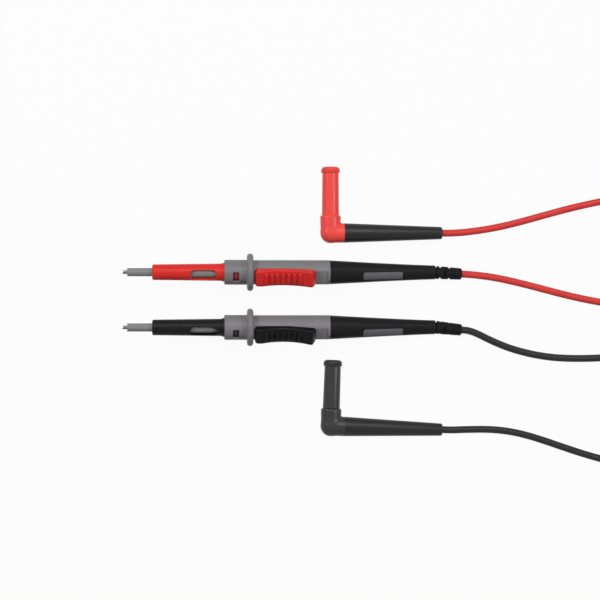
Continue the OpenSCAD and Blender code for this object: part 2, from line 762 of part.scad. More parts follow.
module plug_core() color("peru") rod(wire_bore_start + 0.5, boot_end - 3, core_r);

module plug_boot(ink) color(ink) turned() difference() {
  union() {
    polygon([
      [boot_start, 0], [boot_end - boot_round, 0], [boot_end - boot_round, boot_end_d / 2],
      [boot_start, elbow_d / 2],
    ]);
    band(boot_end - 2 * boot_round, boot_end, 0, boot_end_d / 2 - boot_round);
    translate([boot_end - boot_round, boot_end_d / 2 - boot_round]) circle(boot_round);
  }
  band(boot_start - 1, boot_end + overcut, -1, cable_r + fit_gap);
  band(boot_start - 1, terminal_end + 1, -1, terminal_r + fit_gap);
}

module plug_elbow(ink) color(ink) {
  step_round = 1.2;
  difference() {
    union() {
      sphere(d = elbow_d);
      rod(0, boot_start, elbow_d / 2);
      rotate_extrude() {
        polygon([
          [0, 0], [elbow_d / 2, 0], [elbow_top_d / 2, elbow_step - step_round],
          [0, elbow_step - step_round],
        ]);
        square([elbow_top_d / 2 - step_round, elbow_step]);
        translate([elbow_top_d / 2 - step_round, elbow_step - step_round]) circle(step_round);
      }
    }
    rod(terminal_start - fit_gap, boot_start + 1, terminal_r + fit_gap);
    cylinder(h = elbow_step, r = shank_r + fit_gap);
    translate([0, 0, elbow_step - shroud_spigot_len]) cylinder(h = elbow_step, r = shroud_spigot_r + fit_gap);
  }
}

module plug_shroud(ink) color(ink) {
  lip_rear_round = 1.3;
  lip_start = plug_reach - lip_len;
  rounds = [[lip_start + lip_rear_round, lip_rear_round], [plug_reach - lip_round, lip_round]];
  rotate_extrude() difference() {
    union() {
      polygon([
        [0, elbow_step], [shroud_base_d / 2, elbow_step], [shroud_end_d / 2, lip_start + 1],
        [0, lip_start + 1],
      ]);
      square([shroud_spigot_r, elbow_step + 1]);
      for (end = rounds) translate([lip_d / 2 - end[1], end[0]]) circle(end[1]);
      translate([0, lip_start]) square([lip_d / 2 - lip_rear_round, lip_rear_round]);
      translate([0, rounds[0][0]]) square([lip_d / 2, rounds[1][0] - rounds[0][0]]);
      translate([0, rounds[1][0]]) square([lip_d / 2 - lip_round, lip_round]);
    }
    translate([-1, -1]) square([shroud_spigot_r + 2, elbow_step - shroud_spigot_len + 1]);
    translate([-1, 0]) square([1 + shoulder_r + fit_gap, plug_reach]);
    translate([-1, 0]) square([1 + flange_r + fit_gap, flange_base + flange_t + fit_gap]);
    translate([-1, floor_top]) square([1 + shroud_bore_d / 2, plug_reach]);
  }
}

// Bow spring in the pin's slot
spring_len = 12;
spring_t = 0.3;
spring_w = 0.8;
spring_mid = floor_top + pin_len / 2;

module plug_pin() color("silver") difference() {
  union() {
    cylinder(h = flange_base + flange_t, r = shank_r);
    translate([0, 0, flange_base]) {
      cylinder(h = flange_t, r = flange_r);
      cylinder(h = floor_top - flange_base, r = shoulder_r);
    }
    rotate_extrude() {
      translate([0, floor_top - 1]) square([pin_r, pin_end - pin_round - floor_top + 1]);
      square([pin_r - pin_round, pin_end]);
      intersection() {
        translate([pin_r - pin_round, pin_end - pin_round]) circle(pin_round);
        square([pin_r, pin_end]);
      }
    }
  }
  translate([0, 0, spring_mid])
    cube([spring_w + 2 * fit_gap, 2 * pin_r + 1, spring_len + 2 * fit_gap], center = true);
}

module pin_spring() color("gainsboro") {
  bulge = pin_r - fit_gap;
  bow_r = (spring_len * spring_len / 4 + bulge * bulge) / (2 * bulge);
  translate([0, 0, spring_mid]) rotate([0, 90, 0])
    linear_extrude(spring_w, center = true) difference() {
      intersection_for (side = [-1, 1]) translate([0, side * (bow_r - bulge)]) circle(bow_r, $fn = 180);
      intersection_for (side = [-1, 1])
        translate([0, side * (bow_r - bulge)]) circle(bow_r - spring_t, $fn = 180);
    }
}

module plug_terminal() color("goldenrod") difference() {
  rod(terminal_start, terminal_end, terminal_r);
  rod(wire_bore_start, terminal_end + 1, core_r + fit_gap);
  translate([0, 0, -fit_gap]) cylinder(h = terminal_r + 1, r = shank_r + fit_gap);
}

// ---- Leads ----

// One lead's sub-part by name, in its place
module lead_part(lead, part) {
  red = lead == "red";
  ink = red ? "#d8352f" : "#222224";
  plug_ink = red ? "#e8504b" : "#454548";
  probe_route = red ? red_probe_route : black_probe_route;
  plug_route = red ? red_plug_route : black_plug_route;
  coil_path = red ? red_coil_path : black_coil_path;
  side = red ? 1 : -1;
  roll = red ? red_roll : black_roll;
  relief_roll = red ? red_relief_roll : black_relief_roll;
  bend = red ? red_bend : black_bend;
  if (part == "cable_probe_side") cable(ink, probe_route);
  if (part == "cable_plug_side") cable(ink, plug_route);
  if (part == "cable_coil") coil(ink, coil_path);
  if (part == "coil_tie") tie(red ? red_coil : black_coil);
  if (part == "handle_cable") on_probe(side, 0) handle_cable(ink, bend);
  if (part == "strain_relief") on_relief(side, relief_roll, bend) strain_relief();
  on_probe(side, roll) {
    if (part == "tip_rod") tip_rod();
    if (part == "tip_sheath") tip_sheath();
    if (part == "nose_cone") nose_cone(ink);
    if (part == "barrel") barrel();
    if (part == "rod_holder") rod_holder();
    if (part == "slide_carriage") slide_carriage(ink);
    if (part == "detent_spring") detent_spring();
    if (part == "thumb_slider") thumb_slider(ink);
    if (part == "crimp_ferrule") crimp_ferrule();
    if (part == "wire_core") wire_core();
    if (part == "rear_grip") rear_grip();
    if (part == "label_plate") label_plate();
  }
  on_plug(red ? red_plug_at : black_plug_at, red ? red_plug_turn : black_plug_turn) {
    if (part == "plug_cable") plug_cable(ink);
    if (part == "plug_core") plug_core();
    if (part == "plug_boot") plug_boot(red ? "#1c1c1e" : plug_ink);
    if (part == "plug_elbow") plug_elbow(plug_ink);
    if (part == "plug_shroud") plug_shroud(plug_ink);
    if (part == "plug_pin") plug_pin();
    if (part == "pin_spring") pin_spring();
    if (part == "plug_terminal") plug_terminal();
  }
}

for (lead = ["red", "black"], part = PARTS)
  lead_part(lead, part);
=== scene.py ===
import json
import math

import bmesh
import bpy
from mathutils import Matrix, Vector


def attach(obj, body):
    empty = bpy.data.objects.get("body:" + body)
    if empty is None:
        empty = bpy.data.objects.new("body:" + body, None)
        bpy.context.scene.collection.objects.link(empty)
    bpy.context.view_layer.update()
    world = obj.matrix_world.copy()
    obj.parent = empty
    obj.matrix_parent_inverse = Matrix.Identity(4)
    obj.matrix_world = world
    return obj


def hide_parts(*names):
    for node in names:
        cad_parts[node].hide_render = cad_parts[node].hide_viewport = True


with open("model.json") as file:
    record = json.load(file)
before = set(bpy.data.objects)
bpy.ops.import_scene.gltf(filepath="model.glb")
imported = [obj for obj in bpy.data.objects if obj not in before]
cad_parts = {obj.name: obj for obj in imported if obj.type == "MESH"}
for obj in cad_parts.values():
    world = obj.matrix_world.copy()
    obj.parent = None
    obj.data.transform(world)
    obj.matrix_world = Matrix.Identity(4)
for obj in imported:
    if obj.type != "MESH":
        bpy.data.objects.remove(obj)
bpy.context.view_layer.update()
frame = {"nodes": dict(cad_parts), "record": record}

mm = 0.001
scene = bpy.context.scene

# All sizes below are in millimetres. A probe is made along X from the front face of its
# finger guard, with the tip towards -X. A plug is made from the point where its cable's
# line crosses its shroud's line, with the cable along X and the shroud along Z. Angles are in
# degrees, and straight is how far the cable runs straight on from where it comes out.
leads = {
    "red": {"side": 1, "roll": 25, "reliefRoll": 5, "bend": 3.5, "straight": 5,
            "plugAt": (21.7, 37.5), "plugTurn": 0, "coilAt": (207, 27), "hand": 1},
    "black": {"side": -1, "roll": 36, "reliefRoll": 25, "bend": 6, "straight": 4,
              "plugAt": (21.8, -70.8), "plugTurn": -2, "coilAt": (207, -62), "hand": -1},
}
probe = {"spacing": 30.8, "tipFront": -70.8, "noseEnd": -12.7, "noseSpigotEnd": -9.2, "guardThick": 3.4,
         "guardRadius": 10.45, "guardRound": 1.5, "barrelRear": 46.4, "gripEnd": 105.8,
         "reliefEnd": 120.7, "reliefEndRadius": 3.2, "reliefRound": 1.0}
plug = {"axisZ": 5.85, "armRadius": 5.45, "armEnd": 7.8, "bootEnd": 62.8, "bootEndRadius": 3.45,
        "bootRound": 0.8, "shroudSeat": 7.5, "shroudStart": 10.0, "straight": 5}


def sinOf(degrees):
    return math.sin(math.radians(degrees))


def cosOf(degrees):
    return math.cos(math.radians(degrees))


def turn(degrees, axis):
    return Matrix.Rotation(math.radians(degrees), 4, axis)


def placeAt(x, y, z):
    return Matrix.Scale(mm, 4) @ Matrix.Translation((x, y, z))


# plain name such as redNoseCone from the name of a node or a slot
def camelName(words):
    first, *others = words.split("_")
    return first + "".join(word.capitalize() for word in others)


# angle of a body that rests on two rounded rims
def leanOf(run, rise, drop):
    return math.asin(drop / math.hypot(run, rise)) - math.atan2(rise, run)


guardRim = (probe["guardThick"] - probe["guardRound"], probe["guardRadius"] - probe["guardRound"])
reliefRim = (probe["reliefEnd"] - probe["reliefRound"], probe["reliefEndRadius"] - probe["reliefRound"])
probeLean = leanOf(reliefRim[0] - guardRim[0], reliefRim[1] - guardRim[1],
                   probe["guardRound"] - probe["reliefRound"])
guardZ = probe["guardRound"] + guardRim[0] * math.sin(probeLean) + guardRim[1] * math.cos(probeLean)
probeX = (-(probe["tipFront"] + probe["reliefEnd"]) * math.cos(probeLean) / 2
          - probe["reliefEndRadius"] * math.sin(probeLean) / 2)
plugLean = leanOf(plug["bootEnd"] - plug["bootRound"], plug["bootEndRadius"] - plug["bootRound"],
                  plug["axisZ"] - plug["bootRound"])


def rolledPlace(lead, roll):
    y = leads[lead]["side"] * probe["spacing"] / 2
    return placeAt(probeX, y, guardZ) @ Matrix.Rotation(probeLean, 4, "Y") @ turn(roll, "X")


def probePlace(lead):
    return rolledPlace(lead, leads[lead]["roll"])


def reliefPlace(lead):
    pivot = Matrix.Translation((probe["gripEnd"], 0, 0))
    bend = pivot @ turn(-leads[lead]["bend"], "Z") @ pivot.inverted()
    return rolledPlace(lead, 0) @ bend @ turn(leads[lead]["reliefRoll"], "X")


def plugPlace(lead):
    return (placeAt(*leads[lead]["plugAt"], plug["axisZ"]) @ turn(leads[lead]["plugTurn"], "Z")
            @ Matrix.Rotation(plugLean, 4, "Y") @ turn(-90, "X"))


cameraSettings = {"place": (4.6, -0.1, 1200), "lens": 127.7, "sensor": 36, "clip": (0.05, 50)}


def makeCamera():
    data = bpy.data.cameras.new("camera")
    data.sensor_width = cameraSettings["sensor"]
    data.lens = cameraSettings["lens"]
    data.clip_start, data.clip_end = cameraSettings["clip"]
    camera = bpy.data.objects.new("camera", data)
    camera.location = Vector(cameraSettings["place"]) * mm
    scene.collection.objects.link(camera)
    scene.camera = camera


makeCamera()
print("camera made")


# leadLength alone is in metres
cable = {"diameter": 4.0, "bore": 2.05, "lieZ": 2.05, "turns": 6.5, "meanRadius": 23.6, "pitch": 4.45,
         "layerRise": 4.45, "climbTurns": 0.5, "coilZ": 3.1, "pointsPerTurn": 24, "leadLength": 1.2}
coilOuter = cable["meanRadius"] + cable["pitch"] * cable["turns"] / 4
lieZ = cable["lieZ"]


# places on the cable's line inside a strain relief and inside a boot
def alongRelief(lead, x):
    bend, past = leads[lead]["bend"], x - probe["gripEnd"]
    along = probe["gripEnd"] + past * cosOf(bend)
    return (probeX + along * math.cos(probeLean),
            leads[lead]["side"] * probe["spacing"] / 2 - past * sinOf(bend),
            guardZ - along * math.sin(probeLean))


def alongPlug(lead, x):
    atX, atY = leads[lead]["plugAt"]
    aside = leads[lead]["plugTurn"]
    return (atX + x * cosOf(aside) * math.cos(plugLean), atY + x * sinOf(aside) * math.cos(plugLean),
            plug["axisZ"] - x * math.sin(plugLean))


# the lower layer winds in and the upper layer winds out again
def coilPoints(lead):
    atX, atY = leads[lead]["coilAt"]
    points = []
    for i in range(int(cable["turns"] * cable["pointsPerTurn"]) + 1):
        t = i / cable["pointsPerTurn"]
        radius = coilOuter - cable["pitch"] * min(t, cable["turns"] - t)
        angle = leads[lead]["hand"] * math.radians(360 * t - 90)
        climb = min(1, max(0, (t - cable["turns"] / 2) / cable["climbTurns"] + 0.5))
        z = cable["coilZ"] + cable["layerRise"] * climb * climb * (3 - 2 * climb)
        points.append((atX + radius * math.cos(angle), atY + radius * math.sin(angle), z))
    return points


probeRoutes = {
    "red": [(106, 13.6, 2.6), (112, 12.8, 2.3), (119, 11.5, 2.1), (127, 9.7, lieZ), (135, 7.7, lieZ),
            (143, 5.6, lieZ), (151, 3.5, lieZ), (159, 1.6, lieZ), (167, -0.1, lieZ),
            (175, -1.5, 2.1), (183, -2.6, 2.3), (192, -3.4, 2.7)],
    "black": [(104.5, -19.2, 2.7), (110, -21.9, 2.4), (116, -24.6, 2.1), (123, -27.3, lieZ),
              (131, -29.6, lieZ), (139, -31.3, lieZ), (147, -32.4, lieZ), (155, -32.9, lieZ),
              (163, -33.0, lieZ), (171, -32.8, 2.1), (179, -32.4, 2.2), (187, -31.9, 2.4),
              (195, -31.4, 2.8)],
}
plugRoutes = {
    "red": [(96, 37.9, 2.9), (102, 38.6, 2.5), (109, 39.6, 2.2), (116, 40.9, lieZ), (124, 42.7, lieZ),
            (132, 44.8, lieZ), (140, 47.0, lieZ), (148, 49.2, lieZ), (156, 51.3, lieZ),
            (164, 53.2, 2.2), (172, 54.9, 2.8), (180, 56.3, 3.9), (188, 57.2, 5.4), (196, 57.6, 6.8)],
    "black": [(96, -73.0, 2.9), (102, -72.9, 2.5), (109, -72.9, 2.2), (116, -73.3, lieZ),
              (124, -74.4, lieZ), (132, -76.2, lieZ), (140, -78.6, lieZ), (148, -81.3, lieZ),
              (156, -84.0, lieZ), (164, -86.6, 2.2), (172, -88.9, 2.8), (180, -90.8, 3.9),
              (188, -92.1, 5.4), (196, -92.7, 6.8)],
}


def makeCable(lead):
    coil = coilPoints(lead)
    ahead = Vector((cable["diameter"], 0, 0))
    points = [alongRelief(lead, probe["reliefEnd"]),
              alongRelief(lead, probe["reliefEnd"] + leads[lead]["straight"]),
              *probeRoutes[lead], Vector(coil[0]) - ahead, *coil, Vector(coil[-1]) - ahead,
              *reversed(plugRoutes[lead]),
              alongPlug(lead, plug["bootEnd"] + plug["straight"]), alongPlug(lead, plug["bootEnd"])]
    curve = bpy.data.curves.new(lead + "Cable", "CURVE")
    curve.dimensions = "3D"
    spline = curve.splines.new("BEZIER")
    spline.bezier_points.add(len(points) - 1)
    # a bevel of 1 m times each knot's radius: knots of radius 1 would widen the box that is measured
    for knot, point in zip(spline.bezier_points, points):
        knot.co = Vector(point) * mm
        knot.handle_left_type = knot.handle_right_type = "AUTO"
        knot.radius = cable["diameter"] / 2 * mm
    spline.resolution_u = 5
    curve.bevel_depth = 1.0
    curve.bevel_resolution = 5
    curve.use_fill_caps = True
    piece = bpy.data.objects.new(lead + "Cable", curve)
    scene.collection.objects.link(piece)
    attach(piece, "root")
    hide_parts(lead + "_cable_probe_side", lead + "_cable_coil", lead + "_cable_plug_side")
    return piece


cables = {lead: makeCable(lead) for lead in leads}
print("cables made")


# sockets are named or numbered, and take a value or another socket
def setInputs(tree, node, sockets):
    for socket, value in sockets.items():
        if isinstance(value, bpy.types.NodeSocket):
            tree.links.new(value, node.inputs[socket])
        else:
            node.inputs[socket].default_value = value


def addNode(tree, kind, sockets={}, **settings):
    made = tree.nodes.new(kind)
    for key, value in settings.items():
        setattr(made, key, value)
    setInputs(tree, made, sockets)
    return made


def addOut(tree, kind, sockets={}, **settings):
    return addNode(tree, kind, sockets, **settings).outputs[0]


def addMath(tree, operation, a, b=0.0, clamp=False):
    return addOut(tree, "ShaderNodeMath", {0: a, 1: b}, operation=operation, use_clamp=clamp)


def plus(tree, a, b):
    return addMath(tree, "ADD", a, b)


def minus(tree, a, b, clamp=False):
    return addMath(tree, "SUBTRACT", a, b, clamp)


def times(tree, a, b, clamp=False):
    return addMath(tree, "MULTIPLY", a, b, clamp)


def addRange(tree, value, fromMin, fromMax, toMin=0.0, toMax=1.0):
    return addOut(tree, "ShaderNodeMapRange", {0: value, 1: fromMin, 2: fromMax, 3: toMin, 4: toMax})


def addNoise(tree, vector, scale, detail, roughness):
    return addOut(tree, "ShaderNodeTexNoise",
                  {"Vector": vector, "Scale": scale, "Detail": detail, "Roughness": roughness})


# a new group's tree, the sockets that it is given and its output node
def newGroup(name, kind, inputs, outputs):
    tree = bpy.data.node_groups.new(name, kind)
    for direction, sockets in (("INPUT", inputs), ("OUTPUT", outputs)):
        for socketName, (socketType, *value) in sockets.items():
            socket = tree.interface.new_socket(socketName, in_out=direction,
                                               socket_type="NodeSocket" + socketType)
            if value:
                socket.default_value = value[0]
    return tree, tree.nodes.new("NodeGroupInput").outputs, tree.nodes.new("NodeGroupOutput")


# a group between numbers or vectors, with the place of the shaded point
def newShaderGroup(name, inputs, outputs):
    sockets = {key: ("Vector" if isinstance(value, tuple) else "Float", value)
               for key, value in inputs.items()}
    tree, given, result = newGroup(name, "ShaderNodeTree", sockets, {key: ("Float",) for key in outputs})
    return tree, given, result, addNode(tree, "ShaderNodeTexCoord").outputs["Object"]


# scale, detail and roughness of each noise, and the stretch of each pattern that counts
noises = {"clouds": (130.0, 3.0, 0.55), "patches": (420.0, 4.0, 0.6), "smears": (75.0, 4.0, 0.62),
          "hairs": (2.6, 1.0, 0.4), "fuzz": (5200.0, 2.0, 0.7)}
stretches = {"edges": (0.53, 0.66), "patches": (0.4, 0.68), "smears": (0.38, 0.66), "hairs": (0.66, 0.72)}


# fine moulded texture, as spark-eroded tools leave it
def mouldGrainGroup():
    tree, given, result, place = newShaderGroup("mouldGrain", {"Grains per metre": 4000.0, "Cloud": 0.3},
                                                ["Height", "Tone"])
    fine = addNoise(tree, place, given[0], detail=2.0, roughness=0.6)
    clouds = addNoise(tree, place, *noises["clouds"])
    mixed = plus(tree, times(tree, clouds, given[1]), times(tree, fine, minus(tree, 1.0, given[1])))
    setInputs(tree, result, {"Height": fine, "Tone": mixed})
    return tree


# paler, smoother edges where hands and pockets rub a moulded part
def edgeRubGroup():
    tree, given, result, place = newShaderGroup("edgeRub", {"Amount": 0.5}, ["Mask"])
    point = addNode(tree, "ShaderNodeNewGeometry").outputs["Pointiness"]
    sharp = addRange(tree, point, *stretches["edges"])
    patchy = addRange(tree, addNoise(tree, place, *noises["patches"]), *stretches["patches"])
    setInputs(tree, result, {"Mask": times(tree, times(tree, sharp, patchy), given[0], True)})
    return tree


# smears and hair scratches that change the gloss
def handlingGroup():
    tree, given, result, place = newShaderGroup("handling", {"Amount": 0.5}, ["Smear", "Scratch"])
    smear = addRange(tree, addNoise(tree, place, *noises["smears"]), *stretches["smears"])
    # hairs are drawn out along X
    drawn = addOut(tree, "ShaderNodeMapping", {"Vector": place, "Scale": (60.0, 900.0, 900.0)})
    hair = addRange(tree, addNoise(tree, drawn, *noises["hairs"]), *stretches["hairs"])
    setInputs(tree, result, {"Smear": times(tree, smear, given[0]), "Scratch": times(tree, hair, given[0])})
    return tree


# rings that a lathe leaves round an axis, and the distance along that axis
def turningGroup():
    tree, given, result, place = newShaderGroup(
        "turning", {"Axis": (1.0, 0.0, 0.0), "Rings per metre": 9000.0}, ["Height", "Along"])
    along = addNode(tree, "ShaderNodeVectorMath", {0: place, 1: given[0]}, operation="DOT_PRODUCT")
    rings = addOut(tree, "ShaderNodeTexNoise",
                   {"W": along.outputs["Value"], "Scale": given[1], "Detail": 2.0}, noise_dimensions="1D")
    setInputs(tree, result, {"Height": rings, "Along": along.outputs["Value"]})
    return tree


# over-and-under threads of a woven tape
def weaveGroup():
    tree, given, result, place = newShaderGroup("weave", {"Threads per metre": 2200.0}, ["Height", "Tone"])
    split = addNode(tree, "ShaderNodeSeparateXYZ", {0: place}).outputs
    pace = times(tree, given[0], math.pi)
    across = addMath(tree, "SINE", times(tree, split[1], pace))
    along = addMath(tree, "SINE", times(tree, plus(tree, split[0], split[2]), pace))
    height = addRange(tree, times(tree, across, along), -1.0, 1.0)
    fuzz = addNoise(tree, place, *noises["fuzz"])
    fuzzHeight = 0.6
    setInputs(tree, result, {"Height": plus(tree, height, times(tree, fuzz, fuzzHeight)),
                             "Tone": times(tree, height, fuzz)})
    return tree


groups = {"mouldGrain": mouldGrainGroup(), "edgeRub": edgeRubGroup(), "handling": handlingGroup(),
          "turning": turningGroup(), "weave": weaveGroup()}


def useGroup(tree, name, sockets):
    made = tree.nodes.new("ShaderNodeGroup")
    made.node_tree = groups[name]
    setInputs(tree, made, sockets)
    return made.outputs


def newMaterial(name):
    material = bpy.data.materials.new(name)
    material.use_nodes = True
    return material, material.node_tree, material.node_tree.nodes["Principled BSDF"]


def addBump(tree, height, strength, distance):
    return addOut(tree, "ShaderNodeBump",
                  {"Height": height, "Strength": strength, "Distance": distance * mm})


def mixColors(tree, factor, a, b):
    return addNode(tree, "ShaderNodeMix", {0: factor, 6: a, 7: b}, data_type="RGBA").outputs[2]


def shade(color, factor):
    return (color[0] * factor, color[1] * factor, color[2] * factor, 1.0)


probeAxis = tuple(Matrix.Rotation(probeLean, 3, "Y") @ Vector((1, 0, 0)))
pinAxis = tuple((plugPlace("red").to_3x3() @ Vector((0, 0, 1))).normalized())

# distance along a probe's axis of the front face of its guard, and what lies at places along it
axisStart = Vector((probeX, 0, guardZ)).dot(Vector(probeAxis))
# length of the bright ground point; past it the shank is painted dark as a painted reflection of dark
# surroundings, with this blend and tone
groundPointAndShankReflection = {"length": 1.2, "blend": 0.7, "tone": 0.14}
# two dark lines painted across the carriage as painted shade of grooves
grooveShade = {"middle": -6.3, "spread": 0.9, "half": 0.4, "soft": 0.1, "tone": 0.15}


# mask of two painted groove shades across a probe, dark lines painted where shade falls in grooves, at a
# spread from their middle
def grooveShadeMask(tree):
    off = useGroup(tree, "turning", {"Axis": probeAxis})["Along"]
    for distance in (axisStart + grooveShade["middle"], grooveShade["spread"]):
        off = addMath(tree, "ABSOLUTE", minus(tree, off, distance * mm))
    half, soft = grooveShade["half"], grooveShade["soft"]
    return addRange(tree, off, (half - soft) * mm, (half + soft) * mm, 1.0, 0.0)


# cloudiness, how far tone and gloss drift, and how much handling shows
moulded = {"cloud": 0.6, "cloudy": (0.3, 0.7), "dark": 0.92, "pale": 1.08, "handled": 0.5, "polish": 0.05,
           "smearDull": 0.16, "scratchShine": 0.12, "bump": 0.5}


# moulded plastic and rubber: a tone that drifts a little, rubbed edges and a fine grain; carriages also get
# painted groove shade
def mouldedMaterial(name, color, roughness, specular=0.35, grain=4000.0, grainDepth=0.012,
                    rubTone=1.5, rub=0.35, grooveShaded=False):
    material, tree, shader = newMaterial(name)
    skin = useGroup(tree, "mouldGrain", {"Grains per metre": grain, "Cloud": moulded["cloud"]})
    edges = useGroup(tree, "edgeRub", {"Amount": rub})
    marks = useGroup(tree, "handling", {"Amount": moulded["handled"]})
    tone = addRange(tree, skin["Tone"], *moulded["cloudy"])
    base = mixColors(tree, tone, shade(color, moulded["dark"]), shade(color, moulded["pale"]))
    base = mixColors(tree, edges["Mask"], base, shade(color, rubTone))
    if grooveShaded:
        # painted shade: two dark lines darken the carriage where grooves would be shaded
        base = mixColors(tree, grooveShadeMask(tree), base, shade(color, grooveShade["tone"]))
    gloss = plus(tree, roughness - moulded["polish"], times(tree, marks["Smear"], moulded["smearDull"]))
    gloss = minus(tree, gloss, times(tree, marks["Scratch"], moulded["scratchShine"]), True)
    setInputs(tree, shader, {"Base Color": base, "Roughness": gloss, "Specular IOR Level": specular,
                             "Normal": addBump(tree, skin["Height"], moulded["bump"], grainDepth)})
    return material


metal = {"handled": 0.6, "smearTone": 0.86, "smearDull": 0.1, "bump": 0.4}


# turned or drawn metal with rings round its axis; past a ground point the shank is darkened as a painted
# dark reflection
def metalMaterial(name, color, roughness, axis, rings=9000.0, depth=0.004, shankReflectionStart=None):
    material, tree, shader = newMaterial(name)
    lathe = useGroup(tree, "turning", {"Axis": axis, "Rings per metre": rings})
    marks = useGroup(tree, "handling", {"Amount": metal["handled"]})
    base = mixColors(tree, marks["Smear"], shade(color, 1.0), shade(color, metal["smearTone"]))
    # painted dark reflection: the shank past the ground point is darkened
    if shankReflectionStart is not None:
        shankReflection = addRange(tree, lathe["Along"], shankReflectionStart * mm,
                           (shankReflectionStart + groundPointAndShankReflection["blend"]) * mm)
        base = mixColors(tree, shankReflection, base, shade(color, groundPointAndShankReflection["tone"]))
    gloss = plus(tree, roughness, times(tree, marks["Smear"], metal["smearDull"]))
    setInputs(tree, shader, {"Base Color": base, "Roughness": gloss, "Metallic": 1.0,
                             "Normal": addBump(tree, lathe["Height"], metal["bump"], depth)})
    return material


tape = {"color": (0.02, 0.02, 0.021), "threads": 1500.0, "dark": 0.7, "pale": 1.8, "roughness": 0.85,
        "specular": 0.2, "sheen": 0.2, "bump": 0.8, "depth": 0.12}


def tapeMaterial(name):
    material, tree, shader = newMaterial(name)
    threads = useGroup(tree, "weave", {"Threads per metre": tape["threads"]})
    base = mixColors(tree, threads["Tone"], shade(tape["color"], tape["dark"]),
                     shade(tape["color"], tape["pale"]))
    bump = addBump(tree, threads["Height"], tape["bump"], tape["depth"])
    setInputs(tree, shader, {"Base Color": base, "Roughness": tape["roughness"], "Normal": bump,
                             "Specular IOR Level": tape["specular"], "Sheen Weight": tape["sheen"]})
    return material


# colour, roughness, axis, rings per metre, their depth in mm and where a ground point ends and the painted
# dark reflection on the shank begins
metals = {
    "tip_metal": ((0.80, 0.79, 0.77), 0.2, probeAxis, 9000.0, 0.004,
                  axisStart + probe["tipFront"] + groundPointAndShankReflection["length"]),
    "pin_metal": ((0.80, 0.79, 0.77), 0.2, pinAxis),
    "spring_steel": ((0.62, 0.62, 0.63), 0.28, (0.0, 1.0, 0.0)),
    "contact_brass": ((0.78, 0.6, 0.3), 0.3, probeAxis),
    "copper_strand": ((0.8, 0.45, 0.3), 0.35, (0.0, 1.0, 0.0), 3000.0, 0.02),
}
# colour, roughness, specular, grains per metre, their depth in mm, tone of rubbed edges and how rubbed
mouldings = {
    "sheath_grey": ((0.208, 0.204, 0.205), 0.44, 0.2),
    "barrel_grey": ((0.178, 0.172, 0.18), 0.46, 0.2, 3200.0, 0.016),
    "label_grey": ((0.112, 0.112, 0.118), 0.5, 0.2),
    "holder_ivory": ((0.7, 0.66, 0.55), 0.45),
    "red_shell": ((0.64, 0.026, 0.02), 0.4, 0.14, 5200.0, 0.006, 1.25),
    "black_shell": ((0.008, 0.008, 0.0082), 0.42, 0.1, 5200.0, 0.006, 3.0),
    # carriage colours are lightened as a painted highlight on the carriage between its painted groove shade
    "red_carriage": ((0.34, 0.03, 0.03), 0.4, 0.3),
    "black_carriage": ((0.045, 0.045, 0.046), 0.45, 0.2),
    "red_slider": ((0.56, 0.017, 0.013), 0.38, 0.22, 4600.0, 0.008, 1.3),
    "black_slider": ((0.005, 0.005, 0.0052), 0.38, 0.1, 4600.0, 0.008, 3.0),
    "red_cable": ((0.6, 0.04, 0.035), 0.45, 0.2, 6000.0, 0.006, 1.5, 0.0),
    "black_cable": ((0.012, 0.012, 0.013), 0.42, 0.25, 6000.0, 0.006, 1.5, 0.0),
    "grip_black": ((0.012, 0.012, 0.0125), 0.42, 0.06, 3000.0, 0.02, 2.0),
    "relief_black": ((0.009, 0.009, 0.0094), 0.5, 0.06, 3400.0, 0.02, 2.0),
    "red_boot": ((0.007, 0.007, 0.0074), 0.41, 0.26, 3400.0, 0.008, 2.2),
    "black_boot": ((0.012, 0.012, 0.0124), 0.41, 0.23, 3400.0, 0.008, 2.0),
    "red_plug": ((0.8, 0.066, 0.056), 0.36, 0.22, 5200.0, 0.006, 1.15),
    "black_plug": ((0.029, 0.029, 0.03), 0.33, 0.26, 5200.0, 0.006, 1.8),
}


finishes = {"strap_black": tapeMaterial("strapBlack")}
for slot, values in metals.items():
    finishes[slot] = metalMaterial(camelName(slot), *values)
for slot, values in mouldings.items():
    finishes[slot] = mouldedMaterial(camelName(slot), *values, grooveShaded=slot.endswith("carriage"))
print("materials made:", len(finishes))

# every solid that stays visible takes the finish of its own slot
slotOf = {part["node"]: part["material_slot"] for part in frame["record"]["subparts"]}
for nodeName, nodeObject in frame["nodes"].items():
    nodeObject.data.materials.clear()
    nodeObject.data.materials.append(finishes[slotOf[nodeName]])
for lead, piece in cables.items():
    piece.data.materials.append(finishes[lead + "_cable"])


# how finely round things are drawn, the crease that stays sharp, and what is merged, in metres
smooth = {"turnSteps": 96, "cornerSteps": 6, "sharpAngle": 38, "mergeWithin": 1e-7, "thinEdge": 1e-8}
turnAngles = [math.tau * k / smooth["turnSteps"] for k in range(smooth["turnSteps"])]


# value at x on the line through two ends, (x, value)
def onLine(x, start, end):
    return start[1] + (end[1] - start[1]) * (x - start[0]) / (end[0] - start[0])


# outline with rounded corners, from (x, r, rounding) corners; its first and last stay sharp
def softOutline(corners):
    points = []
    for i, (x, r, rounding) in enumerate(corners):
        if not rounding or i in (0, len(corners) - 1):
            points.append((x, r))
            continue
        here = Vector((x, r))
        back = (Vector(corners[i - 1][:2]) - here).normalized()
        ahead = (Vector(corners[i + 1][:2]) - here).normalized()
        half = back.angle(ahead) / 2
        middle = here + (back + ahead).normalized() * rounding / math.sin(half)
        first = here + back * rounding / math.tan(half) - middle
        last = here + ahead * rounding / math.tan(half) - middle
        start = math.atan2(first.y, first.x)
        sweep = (math.atan2(last.y, last.x) - start + math.pi) % math.tau - math.pi
        for step in range(smooth["cornerSteps"] + 1):
            angle = start + sweep * step / smooth["cornerSteps"]
            points.append((middle.x + rounding * math.cos(angle), middle.y + rounding * math.sin(angle)))
    return points


def turnRing(x, r):
    return [(x, r * math.sin(angle), r * math.cos(angle)) for angle in turnAngles]


